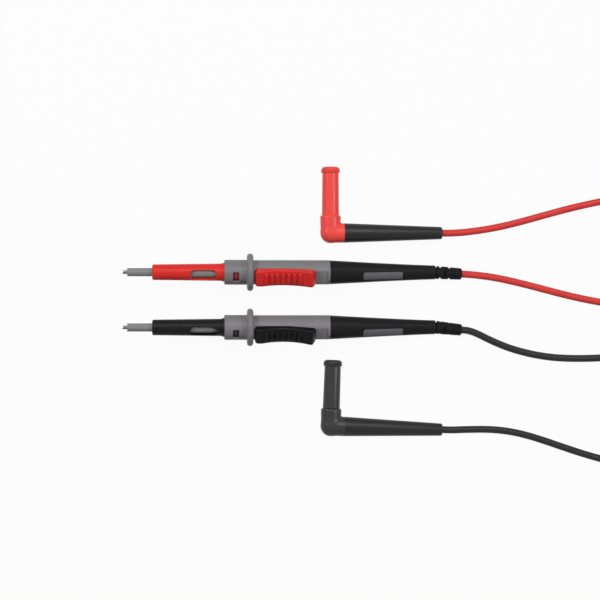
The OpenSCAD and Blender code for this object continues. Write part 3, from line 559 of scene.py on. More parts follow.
# points and faces of closed bodies
class Skin:
    def __init__(self, rings, loop=False):
        self.points = []
        self.faces = []
        self.add(rings, loop)

    # faces over rings of equal length; a loop of rings joins its last to its first
    def add(self, rings, loop=False):
        base, count, rows = len(self.points), len(rings[0]), len(rings)
        self.points += [point for ring in rings for point in ring]
        for i in range(rows if loop else rows - 1):
            below, above = base + i * count, base + (i + 1) % rows * count
            for k in range(count):
                after = (k + 1) % count
                self.faces.append((below + k, below + after, above + after, above + k))
        if not loop:
            self.faces.append(tuple(range(base, base + count)))
            self.faces.append(tuple(range(base + (rows - 1) * count, base + rows * count)))


# skin turned round X from (x, r, rounding) corners, which start and end on the axis or close
def turnedSkin(corners):
    outline = softOutline(corners)
    return Skin([turnRing(x, r) for x, r in outline], loop=outline[0][1] > 0)


def meshOf(name, skin):
    mesh = bpy.data.meshes.new(name)
    mesh.from_pydata(skin.points, [], skin.faces)
    return mesh


# object at the origin that stands for a node, from a skin or mesh in millimetres set in its place
def addPiece(node, shape, place, slot, body="root", sharp=smooth["sharpAngle"]):
    name = camelName(node)
    mesh = meshOf(name, shape) if isinstance(shape, Skin) else shape
    mesh.transform(place)
    work = bmesh.new()
    work.from_mesh(mesh)
    bmesh.ops.remove_doubles(work, verts=work.verts, dist=smooth["mergeWithin"])
    bmesh.ops.dissolve_degenerate(work, edges=work.edges, dist=smooth["thinEdge"])
    bmesh.ops.recalc_face_normals(work, faces=work.faces)
    work.to_mesh(mesh)
    work.free()
    mesh.shade_smooth()
    mesh.set_sharp_from_angle(angle=math.radians(sharp))
    mesh.materials.clear()
    mesh.materials.append(finishes[slot])
    piece = bpy.data.objects.new(name, mesh)
    scene.collection.objects.link(piece)
    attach(piece, body)
    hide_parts(node)
    return piece


# how finely the skin round a window is drawn
windowSkin = {"shares": (0.25, 0.5, 0.75), "edgeAngles": (0, 22.5, 45, 67.5, 90), "spacing": 0.6}


# place on a window's outline that faces the given place, at a distance outside it
def onWindow(window, x, y, out):
    corner = window["corner"]
    coreX, coreY = window["length"] / 2 - corner, window["width"] / 2 - corner
    x -= window["middle"]
    nearX, nearY = min(coreX, max(-coreX, x)), min(coreY, max(-coreY, y))
    scale = (corner + out) / math.hypot(x - nearX, y - nearY)
    return window["middle"] + nearX + (x - nearX) * scale, nearY + (y - nearY) * scale


# height after a flat track, (start, end, height), is cut along the top
def levelled(x, z, track):
    return min(z, track[2]) if track and track[0] < x < track[1] else z


def heightOn(rows, x, y, track):
    for start, end in zip(rows, rows[1:]):
        if start[0] <= x <= end[0] and end[0] > start[0]:
            r = onLine(x, start, end)
            return levelled(x, math.sqrt(r * r - y * y), track)
    raise ValueError("no surface at %g" % x)


# loops of points from the edge of a taken-out block to a window's outline
def windowLoops(rows, window, edge, rounding, track):
    loops = []
    for share in windowSkin["shares"]:
        loop = []
        for x, y, _ in edge:
            atX, atY = onWindow(window, x, y, rounding)
            atX, atY = x + (atX - x) * share, y + (atY - y) * share
            loop.append((atX, atY, heightOn(rows, atX, atY, track)))
        loops.append(loop)
    for angle in windowSkin["edgeAngles"] if rounding else (0,):
        out, sink = rounding * (1 - sinOf(angle)), rounding * (1 - cosOf(angle))
        loop = [onWindow(window, x, y, out) for x, y, _ in edge]
        loops.append([(x, y, heightOn(rows, x, y, track) - sink) for x, y in loop])
    return loops


# rows (x, r) along one side of a shell, with a row at each edge of a window's block
def shellRows(outline, windows):
    breaks = [x for window in windows for x in window["block"]]
    rows = []
    for start, end in zip(outline, outline[1:]):
        stops = [start[0], *(x for x in breaks if start[0] < x < end[0]), end[0]]
        for a, b in zip(stops, stops[1:]):
            parts = max(1, round((b - a) / windowSkin["spacing"]))
            for x in (a + (b - a) * i / parts for i in range(parts)):
                rows.append((x, onLine(x, start, end) if end[0] > start[0] else start[1]))
    return rows + [outline[-1]]


# turned shell with windows cut straight down through its upper side
def windowedShell(outline, bore, windows, track=None):
    sides = {"outer": shellRows(outline, windows), "inner": shellRows(bore, windows)}
    count = smooth["turnSteps"]
    rings = []
    for side, rows in sides.items():
        cut = track if side == "outer" else None
        rings += [[(x, y, levelled(x, z, cut)) for x, y, z in turnRing(*row)]
                  for row in (rows if side == "outer" else rows[::-1])]
    skin = Skin(rings, loop=True)
    outerCount = len(sides["outer"])
    ringOf = {"outer": list(range(outerCount)), "inner": list(range(len(rings) - 1, outerCount - 1, -1))}
    gone = set()
    for window in windows:
        steps = [k % count for k in range(-window["halfSteps"], window["halfSteps"] + 1)]
        chain = []
        for side, rows in sides.items():
            block = [i for i, (x, _) in enumerate(rows) if window["block"][0] <= x <= window["block"][1]]
            first, last = block[0], block[-1]
            for i in range(first, last):
                gone |= {min(ringOf[side][i], ringOf[side][i + 1]) * count + k for k in steps[:-1]}
            cells = ([(i, steps[0]) for i in range(first, last)] + [(last, k) for k in steps[:-1]]
                     + [(i, steps[-1]) for i in range(last, first, -1)]
                     + [(first, k) for k in reversed(steps[1:])])
            edge = [ringOf[side][i] * count + k for i, k in cells]
            rounding, cut = (window["edgeRound"], track) if side == "outer" else (0, None)
            loops = []
            edgePoints = [skin.points[index] for index in edge]
            for loop in windowLoops(rows, window, edgePoints, rounding, cut):
                loops.append(range(len(skin.points), len(skin.points) + len(loop)))
                skin.points += loop
            chain += [edge] + loops if side == "outer" else loops[::-1] + [edge]
        for a, b in zip(chain, chain[1:]):
            for k in range(len(a)):
                after = (k + 1) % len(a)
                skin.faces.append((a[k], a[after], b[after], b[k]))
    skin.faces = [face for i, face in enumerate(skin.faces) if i not in gone]
    return skin


def addSwitch(tree, a, operation, b, off, on):
    test = addOut(tree, "FunctionNodeCompare", {0: a, 1: b}, data_type="FLOAT", operation=operation)
    return addOut(tree, "GeometryNodeSwitch", {0: test, 1: off, 2: on}, input_type="FLOAT")


def addVector(tree, sockets):
    return addOut(tree, "ShaderNodeCombineXYZ", sockets)


# X, Y and Z of each point
def pointParts(tree):
    return addNode(tree, "ShaderNodeSeparateXYZ", {0: addOut(tree, "GeometryNodeInputPosition")}).outputs


# the given geometry with more beside it, all in the given material
def finishTree(tree, given, result, geometry):
    join = tree.nodes.new("GeometryNodeJoinGeometry")
    for part in (given["Geometry"], geometry):
        tree.links.new(part, join.inputs[0])
    real = addOut(tree, "GeometryNodeRealizeInstances", {0: join.outputs[0]})
    setInputs(tree, result, {0: addOut(tree, "GeometryNodeSetMaterial", {0: real, 2: given["Material"]})})
    return tree


# row of round-ended bars across a piece, set on a hollow arc
def barRowTree():
    tree, given, result = newGroup("barRow", "GeometryNodeTree", {
        "Geometry": ("Geometry",), "Count": ("Int", 7), "Pitch": ("Float", 3.0),
        "Start": ("Vector", (0.0, 0.0, 0.0)), "Arc radius": ("Float", 40.0), "Bar length": ("Float", 5.0),
        "Bar radius": ("Float", 0.8), "Material": ("Material",)}, {"Geometry": ("Geometry",)})
    line = addOut(tree, "GeometryNodeMeshLine", {"Count": given["Count"], "Start Location": given["Start"],
                                                 "Offset": addVector(tree, {0: given["Pitch"]})})
    order = addOut(tree, "GeometryNodeInputIndex")
    centre = times(tree, minus(tree, given["Count"], 1.0), 0.5)
    run = times(tree, minus(tree, order, centre), given["Pitch"])
    radius = given["Arc radius"]
    chord = addMath(tree, "SQRT", minus(tree, times(tree, radius, radius), times(tree, run, run)))
    rise = addVector(tree, {2: minus(tree, radius, chord)})
    seats = addOut(tree, "GeometryNodeSetPosition", {0: line, "Offset": rise})
    # a bar is a ball whose two halves are pushed apart along Y
    ball = addOut(tree, "GeometryNodeMeshUVSphere",
                  {"Segments": 20, "Rings": 17, "Radius": given["Bar radius"]})
    laid = addOut(tree, "GeometryNodeTransform", {0: ball, "Rotation": (math.pi / 2, 0.0, 0.0)})
    stretch = minus(tree, times(tree, given["Bar length"], 0.5), given["Bar radius"])
    push = times(tree, addRange(tree, pointParts(tree)[1], -0.01, 0.01, -1.0, 1.0), stretch)
    bar = addOut(tree, "GeometryNodeSetPosition", {0: laid, "Offset": addVector(tree, {1: push})})
    bars = addOut(tree, "GeometryNodeInstanceOnPoints", {"Points": seats, "Instance": bar})
    return finishTree(tree, given, result, bars)


# turned grip whose taper eases off towards its rear, with a stepped bore
def easedGripTree():
    sizes = {"Start": 0.0, "Length": 60.0, "Front radius": 6.7, "Rear radius": 3.9, "Ease": 1.2,
             "Edge round": 0.4, "Cavity end": 10.0, "Cavity radius": 3.6, "Bore radius": 2.05,
             "Mouth start": 57.0, "Mouth radius": 3.0}
    tree, given, result = newGroup("easedGrip", "GeometryNodeTree", {
        "Geometry": ("Geometry",), **{key: ("Float", value) for key, value in sizes.items()},
        "Rings": ("Int", 240), "Segments": ("Int", 97), "Material": ("Material",)},
        {"Geometry": ("Geometry",)})
    sheet = addOut(tree, "GeometryNodeMeshGrid", {0: 1.0, 1: 1.0, 2: given["Rings"], 3: given["Segments"]})
    place = pointParts(tree)
    # out along the skin and back along the bore, with the rings close together at both ends
    trip = times(tree, plus(tree, place[0], 0.5), 2.0)
    share = times(tree, minus(tree, 1.0, addMath(tree, "COSINE", times(tree, trip, math.pi))), 0.5)
    along = times(tree, share, given["Length"])
    left = addMath(tree, "POWER", minus(tree, 1.0, share), given["Ease"])
    taper = times(tree, minus(tree, given["Front radius"], given["Rear radius"]), left)
    rounding = given["Edge round"]
    toEnd = addMath(tree, "MINIMUM", along, minus(tree, given["Length"], along))
    inward = minus(tree, 1.0, addMath(tree, "DIVIDE", toEnd, rounding), True)
    kept = addMath(tree, "SQRT", minus(tree, 1.0, times(tree, inward, inward), True))
    skin = plus(tree, given["Rear radius"], taper)
    skin = minus(tree, skin, times(tree, minus(tree, 1.0, kept), rounding))
    bore = addSwitch(tree, along, "LESS_THAN", given["Cavity end"], given["Bore radius"],
                     given["Cavity radius"])
    bore = addSwitch(tree, along, "GREATER_THAN", given["Mouth start"], bore, given["Mouth radius"])
    # the last ring meets the first one, which closes the front face
    almost = 0.001
    bore = addSwitch(tree, trip, "GREATER_THAN", 2 - almost, bore, skin)
    radius = addSwitch(tree, trip, "GREATER_THAN", 1 + almost, skin, bore)
    angle = times(tree, place[1], math.tau)
    spot = addVector(tree, {0: plus(tree, along, given["Start"]),
                            1: times(tree, radius, addMath(tree, "SINE", angle)),
                            2: times(tree, radius, addMath(tree, "COSINE", angle))})
    turned = addOut(tree, "GeometryNodeSetPosition", {0: sheet, "Position": spot})
    whole = addOut(tree, "GeometryNodeMergeByDistance", {0: turned, "Distance": 0.0005})
    return finishTree(tree, given, result, whole)


trees = {"barRow": barRowTree(), "easedGrip": easedGripTree()}


# mesh that a tree makes from a skin, in millimetres
def growMesh(name, skin, treeName, values):
    holder = bpy.data.objects.new(name + "Source", meshOf(name, skin))
    scene.collection.objects.link(holder)
    modifier = holder.modifiers.new("grow", "NODES")
    modifier.node_group = trees[treeName]
    for item in trees[treeName].interface.items_tree:
        if item.in_out == "INPUT" and item.name in values:
            modifier[item.identifier] = values[item.name]
    bpy.context.view_layer.update()
    grown = bpy.data.meshes.new_from_object(holder.evaluated_get(bpy.context.evaluated_depsgraph_get()))
    holder.modifiers.remove(modifier)
    bpy.data.objects.remove(holder)
    return grown


nose = {"front": -52.9, "frontRadius": 4.35, "frontRound": 0.9, "flareStart": -15.7, "flareRadius": 4.8,
        "flareCurve": 6.78, "flareSteps": 8, "spigotRadius": 5.1, "guideEnd": -49.4, "guideRadius": 2.6,
        "boreRadius": 3.4, "chamfer": (0.2, 0.3),
        "slot": {"middle": -24.35, "length": 14.9, "width": 5.4, "corner": 2.7, "edgeRound": 0.45,
                 "halfSteps": 14, "block": (-33.4, -15.8)}}


def makeNose(lead):
    front, end, spigotEnd = nose["front"], probe["noseEnd"], probe["noseSpigotEnd"]
    flareStart, curve = nose["flareStart"], nose["flareCurve"]
    cutDeep, cutWide = nose["chamfer"]
    outline = softOutline([(front, nose["guideRadius"] + cutWide, 0),
                           (front, nose["frontRadius"], nose["frontRound"]),
                           (flareStart, nose["flareRadius"], 0)])
    for i in range(1, nose["flareSteps"] + 1):
        x = (end - flareStart) * i / nose["flareSteps"]
        outline.append((flareStart + x, nose["flareRadius"] + curve - math.sqrt(curve ** 2 - x * x)))
    outline += [(end, nose["spigotRadius"]), (spigotEnd, nose["spigotRadius"])]
    bore = [(front + cutDeep, nose["guideRadius"]), (nose["guideEnd"], nose["guideRadius"]),
            (nose["guideEnd"], nose["boreRadius"]), (spigotEnd, nose["boreRadius"])]
    skin = windowedShell(outline, bore, [nose["slot"]])
    addPiece(lead + "_nose_cone", skin, probePlace(lead), lead + "_shell")


# each end face has a narrow rim beside the bore, and the track is a flat along the top
barrel = {"frontRim": 0.1, "collarRadius": 6.95, "collarRound": 0.5, "radius": 6.8, "rearRound": 0.35,
          "rearRim": 0.2, "spigotRadius": 5.15, "collarBore": 5.95, "boreStep": 3.1, "bore": 5.2,
          "trackZ": 5.9, "trackRear": 45.0, "trackEnd": 0.08, "trackSlack": 0.01,
          "window": {"middle": -6.3, "length": 3.6, "width": 5.4, "corner": 0.5, "edgeRound": 0.25,
                     "halfSteps": 8, "block": (-9.0, -3.6)},
          "stemSlot": {"middle": 24.0, "length": 19.6, "width": 3.6, "corner": 0.3, "edgeRound": 0.15,
                       "halfSteps": 6, "block": (13.2, 34.8)}}


def makeBarrel(lead):
    guardRear, guardRadius, guardRound = probe["guardThick"], probe["guardRadius"], probe["guardRound"]
    front, spigotEnd, rear = probe["noseEnd"], probe["noseSpigotEnd"], probe["barrelRear"]
    radius, trackRear = barrel["radius"], barrel["trackRear"]
    collar, collarRound = barrel["collarRadius"], barrel["collarRound"]
    outline = softOutline([
        (front, barrel["spigotRadius"] + barrel["frontRim"], 0), (front, collar, collarRound),
        (0, collar, collarRound), (0, guardRadius, guardRound), (guardRear, guardRadius, guardRound),
        (guardRear, radius, collarRound), (trackRear, radius, 0),
        (trackRear + barrel["trackEnd"], radius, 0),
        (rear, radius, barrel["rearRound"]), (rear, barrel["bore"] + barrel["rearRim"], 0)])
    bore = [(front, barrel["spigotRadius"]), (spigotEnd, barrel["spigotRadius"]),
            (spigotEnd, barrel["collarBore"]), (barrel["boreStep"], barrel["collarBore"]),
            (barrel["boreStep"], barrel["bore"]), (rear, barrel["bore"])]
    track = (guardRear + barrel["trackSlack"], trackRear + barrel["trackSlack"], barrel["trackZ"])
    skin = windowedShell(outline, bore, [barrel["window"], barrel["stemSlot"]], track)
    addPiece(lead + "_barrel", skin, probePlace(lead), "barrel_grey")


# smaller of two heights with the corner between them eased
def softMin(a, b, ease):
    share = min(1, max(0, 0.5 + (b - a) / (2 * ease)))
    return b + (a - b) * share - ease * share * (1 - share)


# what a rounded corner takes off at a distance from the end
def roundedOff(distance, rounding):
    inward = max(0, 1 - distance / rounding)
    return rounding * (1 - math.sqrt(1 - inward * inward))


# how finely a slab is drawn, and the share of its half width that its shoulder may take
slab = {"shoulderShare": 0.8, "shoulderStep": 10, "endStep": 9, "topSteps": 6, "underSteps": 24}


# cross section of a slab that lies along X, between an upper and a lower line
def slabRing(x, half, shoulder, upper, lower):
    wide, high = shoulder
    wide = min(wide, half * slab["shoulderShare"])
    ring = []
    for side in (1, -1):
        arc = [(side * (half - wide + wide * sinOf(a)), high * (1 - cosOf(a)))
               for a in range(90, -1, -slab["shoulderStep"])]
        arc = [(y, upper(y) - drop) for y, drop in arc]
        flat = [side * (half - wide) * (1 - i / slab["topSteps"]) for i in range(1, slab["topSteps"])]
        middle = [(y, upper(y)) for y in flat]
        ring += arc + middle if side > 0 else [(0, upper(0))] + middle[::-1] + arc[::-1]
    count = slab["underSteps"]
    ring += [(y, lower(y)) for y in (half * (i / (count / 2) - 1) for i in range(count + 1))]
    return [(x, y, z) for y, z in ring]


# stations along a slab, closer together where its ends are rounded
def slabStations(start, end, rounding, spacing):
    curve = [rounding * (1 - cosOf(a)) for a in range(0, 90, slab["endStep"])]
    count = round((end - start - 2 * rounding) / spacing)
    middle = [start + rounding + (end - start - 2 * rounding) * i / count for i in range(count + 1)]
    return [start + d for d in curve] + middle + [end - d for d in reversed(curve)]


# its top is the lower of a line, a hollow scoop and the slope at the rear, eased into one another
slider = {"front": 4.2, "rear": 38.1, "width": 9.6, "planRound": 1.6, "shoulder": (1.2, 0.9),
          "lineFrom": (5.6, 9.7), "lineTo": (36.2, 11.0), "rearSlope": 3.2 / 1.9, "frontRound": 1.4,
          "crown": 0.014, "scoopAt": 19.85, "scoopTop": 48.6, "scoopRadius": 40.5, "scoopEase": 0.3,
          "rearEase": 0.45, "sideShare": 0.7, "seatRadius": 7.1, "footZ": 6.2, "spacing": 0.3,
          "stem": (14.5, 26.5, 3.0, 3.95), "stemSunk": 0.3,
          "skirtFrom": (14.5, 4.23), "skirtTo": (38.1, 7.03),
          "ribs": {"Count": 7, "Pitch": 3.17, "Bar length": 6.6, "Bar radius": 1.15}, "ribSink": 0.05}


def sliderTop(x):
    line = onLine(x, slider["lineFrom"], slider["lineTo"])
    scoop = slider["scoopTop"] - math.sqrt(slider["scoopRadius"] ** 2 - (x - slider["scoopAt"]) ** 2)
    slope = slider["lineTo"][1] - (x - slider["lineTo"][0]) * slider["rearSlope"]
    top = softMin(softMin(line, scoop, slider["scoopEase"]), slope, slider["rearEase"])
    return top - roundedOff(x - slider["front"], slider["frontRound"])


def makeSlider(lead):
    wide, high = slider["shoulder"]
    foot, seat, crown = slider["footZ"], slider["seatRadius"], slider["crown"]
    rings = []
    for x in slabStations(slider["front"], slider["rear"], slider["planRound"], slider["spacing"]):
        toEnd = min(x - slider["front"], slider["rear"] - x)
        half = slider["width"] / 2 - roundedOff(toEnd, slider["planRound"])
        top, skirt = sliderTop(x), onLine(x, slider["skirtFrom"], slider["skirtTo"])
        tallest = (top - crown * half * half - skirt) * slider["sideShare"]
        rings.append(slabRing(x, half, (wide, min(high, tallest)), lambda y: top - crown * y * y,
                              lambda y: max(skirt, min(foot, math.sqrt(seat ** 2 - y * y)))))
    skin = Skin(rings)
    stemStart, stemEnd, width, low = slider["stem"]
    side, head = width / 2, foot + slider["stemSunk"]
    corners = ((-side, low), (side, low), (side, head), (-side, head))
    skin.add([[(x, y, z) for y, z in corners] for x in (stemStart, stemEnd)])
    first = slider["scoopAt"] - slider["ribs"]["Pitch"] * (slider["ribs"]["Count"] - 1) / 2
    bottom = slider["scoopTop"] - slider["scoopRadius"] - slider["ribSink"]
    values = {"Start": (first, 0.0, bottom), "Arc radius": slider["scoopRadius"], **slider["ribs"],
              "Material": finishes[lead + "_slider"]}
    mesh = growMesh(lead + "ThumbSlider", skin, "barRow", values)
    addPiece(lead + "_thumb_slider", mesh, probePlace(lead), lead + "_slider", lead + "_slide")


grip = {"spigot": (41.0, 5.15), "spigotRound": 0.2, "spigotSunk": 0.5, "shape": {
    "Start": probe["barrelRear"], "Length": probe["gripEnd"] - probe["barrelRear"],
    "Front radius": 6.7, "Rear radius": 3.9, "Ease": 1.2, "Edge round": 0.5, "Cavity end": 10.1,
    "Cavity radius": 3.6, "Bore radius": cable["bore"], "Mouth start": 56.6, "Mouth radius": 3.0,
    "Rings": 241, "Segments": 97}}


def makeGrip(lead):
    start, radius = grip["spigot"]
    cavity, end = grip["shape"]["Cavity radius"], grip["shape"]["Start"] + grip["spigotSunk"]
    skin = turnedSkin([(start, cavity, 0), (start, radius, grip["spigotRound"]), (end, radius, 0),
                       (end, cavity, 0)])
    values = {"Material": finishes["grip_black"], **grip["shape"]}
    mesh = growMesh(lead + "RearGrip", skin, "easedGrip", values)
    addPiece(lead + "_rear_grip", mesh, probePlace(lead), "grip_black")


label = {"start": 65.0, "end": 87.0, "width": 4.3, "corner": 0.8, "proud": 0.12, "depth": 0.45,
         "edge": 0.12, "spacing": 0.7}


def gripRadius(x):
    shape = grip["shape"]
    left = 1 - (x - shape["Start"]) / shape["Length"]
    return shape["Rear radius"] + (shape["Front radius"] - shape["Rear radius"]) * left ** shape["Ease"]


def makeLabel(lead):
    start, end, edge = label["start"], label["end"], label["edge"]
    rings = []
    for x in slabStations(start, end, label["corner"], label["spacing"]):
        half = label["width"] / 2 - roundedOff(min(x - start, end - x), label["corner"])
        outer, inner = gripRadius(x) + label["proud"], gripRadius(x) - label["depth"]
        rings.append(slabRing(x, half, (edge, edge), lambda y: math.sqrt(outer ** 2 - y * y),
                              lambda y: math.sqrt(inner ** 2 - y * y)))
    addPiece(lead + "_label_plate", Skin(rings), probePlace(lead), "label_grey")


# its notches are cut from the two sides and from above and below by turns
relief = {"spigotStart": 103.3, "spigotRadius": 2.7, "start": 106.3, "frontRadius": 3.7,
          "frontRound": 0.3, "rows": 120, "notches": 3, "notchStart": 108.45,
          "notchPitch": 2.55, "notchFloor": 2.35, "notchSlope": 1.286}


def makeRelief(lead):
    start, end, spigot = relief["start"], probe["reliefEnd"], relief["spigotStart"]
    notches = [relief["notchStart"] + relief["notchPitch"] * n for n in range(relief["notches"])]
    rings = [turnRing(spigot, cable["bore"]), turnRing(spigot, relief["spigotRadius"]),
             turnRing(start, relief["spigotRadius"])]
    for i in range(1, relief["rows"] + 1):
        x = start + (end - start) * (1 - math.cos(math.pi * i / relief["rows"])) / 2
        r = onLine(x, (start, relief["frontRadius"]), (end, probe["reliefEndRadius"]))
        r -= roundedOff(end - x, probe["reliefRound"]) + roundedOff(x - start, relief["frontRound"])
        limits = [relief["notchFloor"] + relief["notchSlope"] * abs(x - notch) for notch in notches]
        sides, tops = min(limits[0::2]), min(limits[1::2])
        rings.append([(x, max(-sides, min(sides, y)), max(-tops, min(tops, z)))
                      for _, y, z in turnRing(x, r)])
    rings.append(turnRing(end, cable["bore"]))
    addPiece(lead + "_strain_relief", Skin(rings, loop=True), reliefPlace(lead), "relief_black")


sheath = {"bareTip": 4.0, "radius": 2.3, "frontRound": 0.4, "step": -49.1, "stepRound": 0.2,
          "rearRadius": 3.1, "rearRound": 0.3, "rear": -3.9, "bore": 1.3}


def makeSheath(lead):
    front = probe["tipFront"] + sheath["bareTip"]
    step, rear, bore = sheath["step"], sheath["rear"], sheath["bore"]
    skin = turnedSkin([(front, bore, 0), (front, sheath["radius"], sheath["frontRound"]),
                       (step, sheath["radius"], sheath["stepRound"]),
                       (step, sheath["rearRadius"], sheath["rearRound"]),
                       (rear, sheath["rearRadius"], 0), (rear, bore, 0)])
    addPiece(lead + "_tip_sheath", skin, probePlace(lead), "sheath_grey", lead + "_slide")


tip = {"point": 1.8, "radius": 1.0, "pointWide": 0.36, "pointRound": 0.17, "shoulderRound": 0.3,
       "rear": 52.0, "flange": (37.0, 39.0, 1.8)}


def makeTip(lead):
    front, rear, radius = probe["tipFront"], tip["rear"], tip["radius"]
    flangeStart, flangeEnd, flangeRadius = tip["flange"]
    skin = turnedSkin([(front, 0, 0), (front, tip["pointWide"], tip["pointRound"]),
                       (front + tip["point"], radius, tip["shoulderRound"]), (flangeStart, radius, 0),
                       (flangeStart, flangeRadius, 0), (flangeEnd, flangeRadius, 0),
                       (flangeEnd, radius, 0), (rear, radius, 0), (rear, 0, 0)])
    addPiece(lead + "_tip_rod", skin, probePlace(lead), "tip_metal")


for lead in leads:
    for make in (makeNose, makeBarrel, makeSlider, makeGrip, makeLabel, makeRelief, makeSheath, makeTip):
        make(lead)
print("probe pieces made")


boot = {"startRound": 0.12, "endRound": 0.9, "cavityEnd": 13.0, "cavityRadius": 2.3}


def makeBoot(lead):
    start, end, bore, cavity = plug["armEnd"], plug["bootEnd"], cable["bore"], boot["cavityRadius"]
    skin = turnedSkin([(start, cavity, 0), (start, plug["armRadius"], boot["startRound"]),
                       (end, plug["bootEndRadius"], boot["endRound"]), (end, bore, 0),
                       (boot["cavityEnd"], bore, 0), (boot["cavityEnd"], cavity, 0)])
    return addPiece(lead + "_plug_boot", skin, plugPlace(lead), lead + "_boot")


elbow = {"topRadius": 5.85, "stepRound": 1.2, "blend": 1.1, "pivot": 6.2, "seatRadius": 4.05, "armRow": 7.0,
         "bendSteps": 40, "columnRows": (7.0, 7.6, 8.2), "arcStep": 15, "widest": 12.0, "halvings": 28}


# distance from the elbow's surface: two round-ended arms with an eased inner corner
def elbowDistance(point):
    x, y, z = point
    radius = plug["armRadius"]
    arm = math.hypot(min(x, 0), y, z) - radius
    spread = (elbow["topRadius"] - radius) * max(0, z) / plug["shroudStart"]
    column = math.hypot(x, y, min(z, 0)) - radius - spread
    return softMin(arm, column, elbow["blend"])


# ring of surface points seen from a place on the elbow's middle line, found by halving
def elbowRing(place, outward):
    place, outward = Vector(place), Vector(outward)
    ring = []
    for angle in turnAngles:
        ray = outward * math.cos(angle) + Vector((0, 1, 0)) * math.sin(angle)
        near, far = 0.0, elbow["widest"]
        for _ in range(elbow["halvings"]):
            middle = (near + far) / 2
            near, far = (middle, far) if elbowDistance(place + ray * middle) < 0 else (near, middle)
        ring.append(tuple(place + ray * near))
    return ring


# the arm from its end, the bend, the column up to its rounded step, and the shroud's seat in it
def makeElbow(lead):
    pivot, stepRound = elbow["pivot"], elbow["stepRound"]
    rings = [elbowRing((x, 0, 0), (0, 0, -1)) for x in (plug["armEnd"], elbow["armRow"])]
    for step in range(elbow["bendSteps"] + 1):
        angle = 90 * step / elbow["bendSteps"]
        outward = Vector((-sinOf(angle), 0, -cosOf(angle)))
        rings.append(elbowRing(Vector((pivot, 0, pivot)) + outward * pivot, outward))
    straight = plug["shroudStart"] - stepRound
    rings += [elbowRing((0, 0, z), (-1, 0, 0)) for z in (*elbow["columnRows"], straight)]
    rim = rings[-1]
    for angle in range(elbow["arcStep"], 91, elbow["arcStep"]):
        shrink = stepRound * (1 - cosOf(angle)) / elbow["topRadius"]
        z = straight + stepRound * sinOf(angle)
        rings.append([(x * (1 - shrink), y * (1 - shrink), z) for x, y, _ in rim])
    seat = elbow["seatRadius"] / elbow["topRadius"]
    rings += [[(x * seat, y * seat, z) for x, y, _ in rim]
              for z in (plug["shroudStart"], plug["shroudSeat"])]
    return addPiece(lead + "_plug_elbow", Skin(rings), plugPlace(lead), lead + "_plug")


# the lip swells from a rounded rear to a rounder front, with a groove between the two
shroud = {"spigotRadius": 4.0, "baseRadius": 4.8, "endRadius": 4.55, "edgeRound": 0.2,
          "mouthRound": 0.15, "reach": 37.2, "lipLength": 3.8, "lipRadius": 5.4,
          "lipRearRound": 1.3, "rearArc": (157, 90), "lipRound": 2.4, "frontArc": (76, 20), "arcStep": 7,
          "lipGroove": (0.6, 0.4), "lipCrease": 0.08, "boreRadius": 3.6, "floor": 13.5, "pinRadius": 2.45,
          "rearRim": 0.4}


# places round a rounding of the lip, from one angle down to another
def lipArc(centre, rounding, first, last):
    return [(centre + rounding * cosOf(a), shroud["lipRadius"] - rounding + rounding * sinOf(a))
            for a in range(first, last - 1, -shroud["arcStep"])]


def makeShroud(lead):
    spigotStart, spigotRadius, start = plug["shroudSeat"], shroud["spigotRadius"], plug["shroudStart"]
    bore, floor, pinRadius = shroud["boreRadius"], shroud["floor"], shroud["pinRadius"]
    edge, rearRound, frontRound = shroud["edgeRound"], shroud["lipRearRound"], shroud["lipRound"]
    lipStart = shroud["reach"] - shroud["lipLength"]
    outline = softOutline([(spigotStart, pinRadius + shroud["rearRim"], 0),
                           (spigotStart, spigotRadius, edge), (start, spigotRadius, 0),
                           (start, shroud["baseRadius"], edge),
                           (lipStart + shroud["lipCrease"], shroud["endRadius"], 0)])
    grooveWidth, grooveDepth = shroud["lipGroove"]
    outline += lipArc(lipStart + rearRound, rearRound, *shroud["rearArc"])
    outline.append((outline[-1][0] + grooveWidth / 2, shroud["lipRadius"] - grooveDepth))
    outline += lipArc(shroud["reach"] - frontRound, frontRound, *shroud["frontArc"])
    outline += softOutline([(*outline[-1], 0), (outline[-1][0], bore, shroud["mouthRound"]),
                            (floor, bore, edge), (floor, pinRadius, 0), (spigotStart, pinRadius, 0)])[1:]
    skin = Skin([turnRing(x, r) for x, r in outline], loop=True)
    return addPiece(lead + "_plug_shroud", skin, plugPlace(lead) @ turn(-90, "Y"), lead + "_plug")


# the strap goes round one side of the coil, and its two ends are joined across a seam
strap = {"inner": 12.99, "outer": 33.23, "top": 9.95, "thick": 0.8, "width": 8.0, "corner": 2.6,
         "seam": 0.5, "edgeStep": 15, "sharpAngle": 60}


# strap round a path of the coil's section, given as (x, z)
def strapRings(path):
    thick = strap["thick"]
    rings = []
    for i, here in enumerate(path):
        ahead = (Vector(path[(i + 1) % len(path)]) - Vector(path[i - 1])).normalized()
        out = Vector((-ahead.y, ahead.x))
        ring = []
        for a in range(0, 360, strap["edgeStep"]):
            wide = (strap["width"] / 2 - thick / 2) * (1 if a < 90 or a >= 270 else -1)
            spot = Vector(here) + out * (thick / 2 * sinOf(a) + thick / 2)
            ring.append((spot.x, wide + thick / 2 * cosOf(a), spot.y))
        rings.append(ring)
    return rings


def makeStrap(lead):
    x0, x1, low, top, corner = strap["inner"], strap["outer"], strap["thick"], strap["top"], strap["corner"]
    middle = (x0 + x1) / 2
    path = softOutline([(middle, low, 0), (x0, low, corner), (x0, top, corner), (x1, top, corner),
                        (x1, low, corner), (middle + strap["seam"], low, 0)])
    return addPiece(lead + "_coil_tie", Skin(strapRings(path), loop=True),
                    placeAt(*leads[lead]["coilAt"], 0), "strap_black", sharp=strap["sharpAngle"])


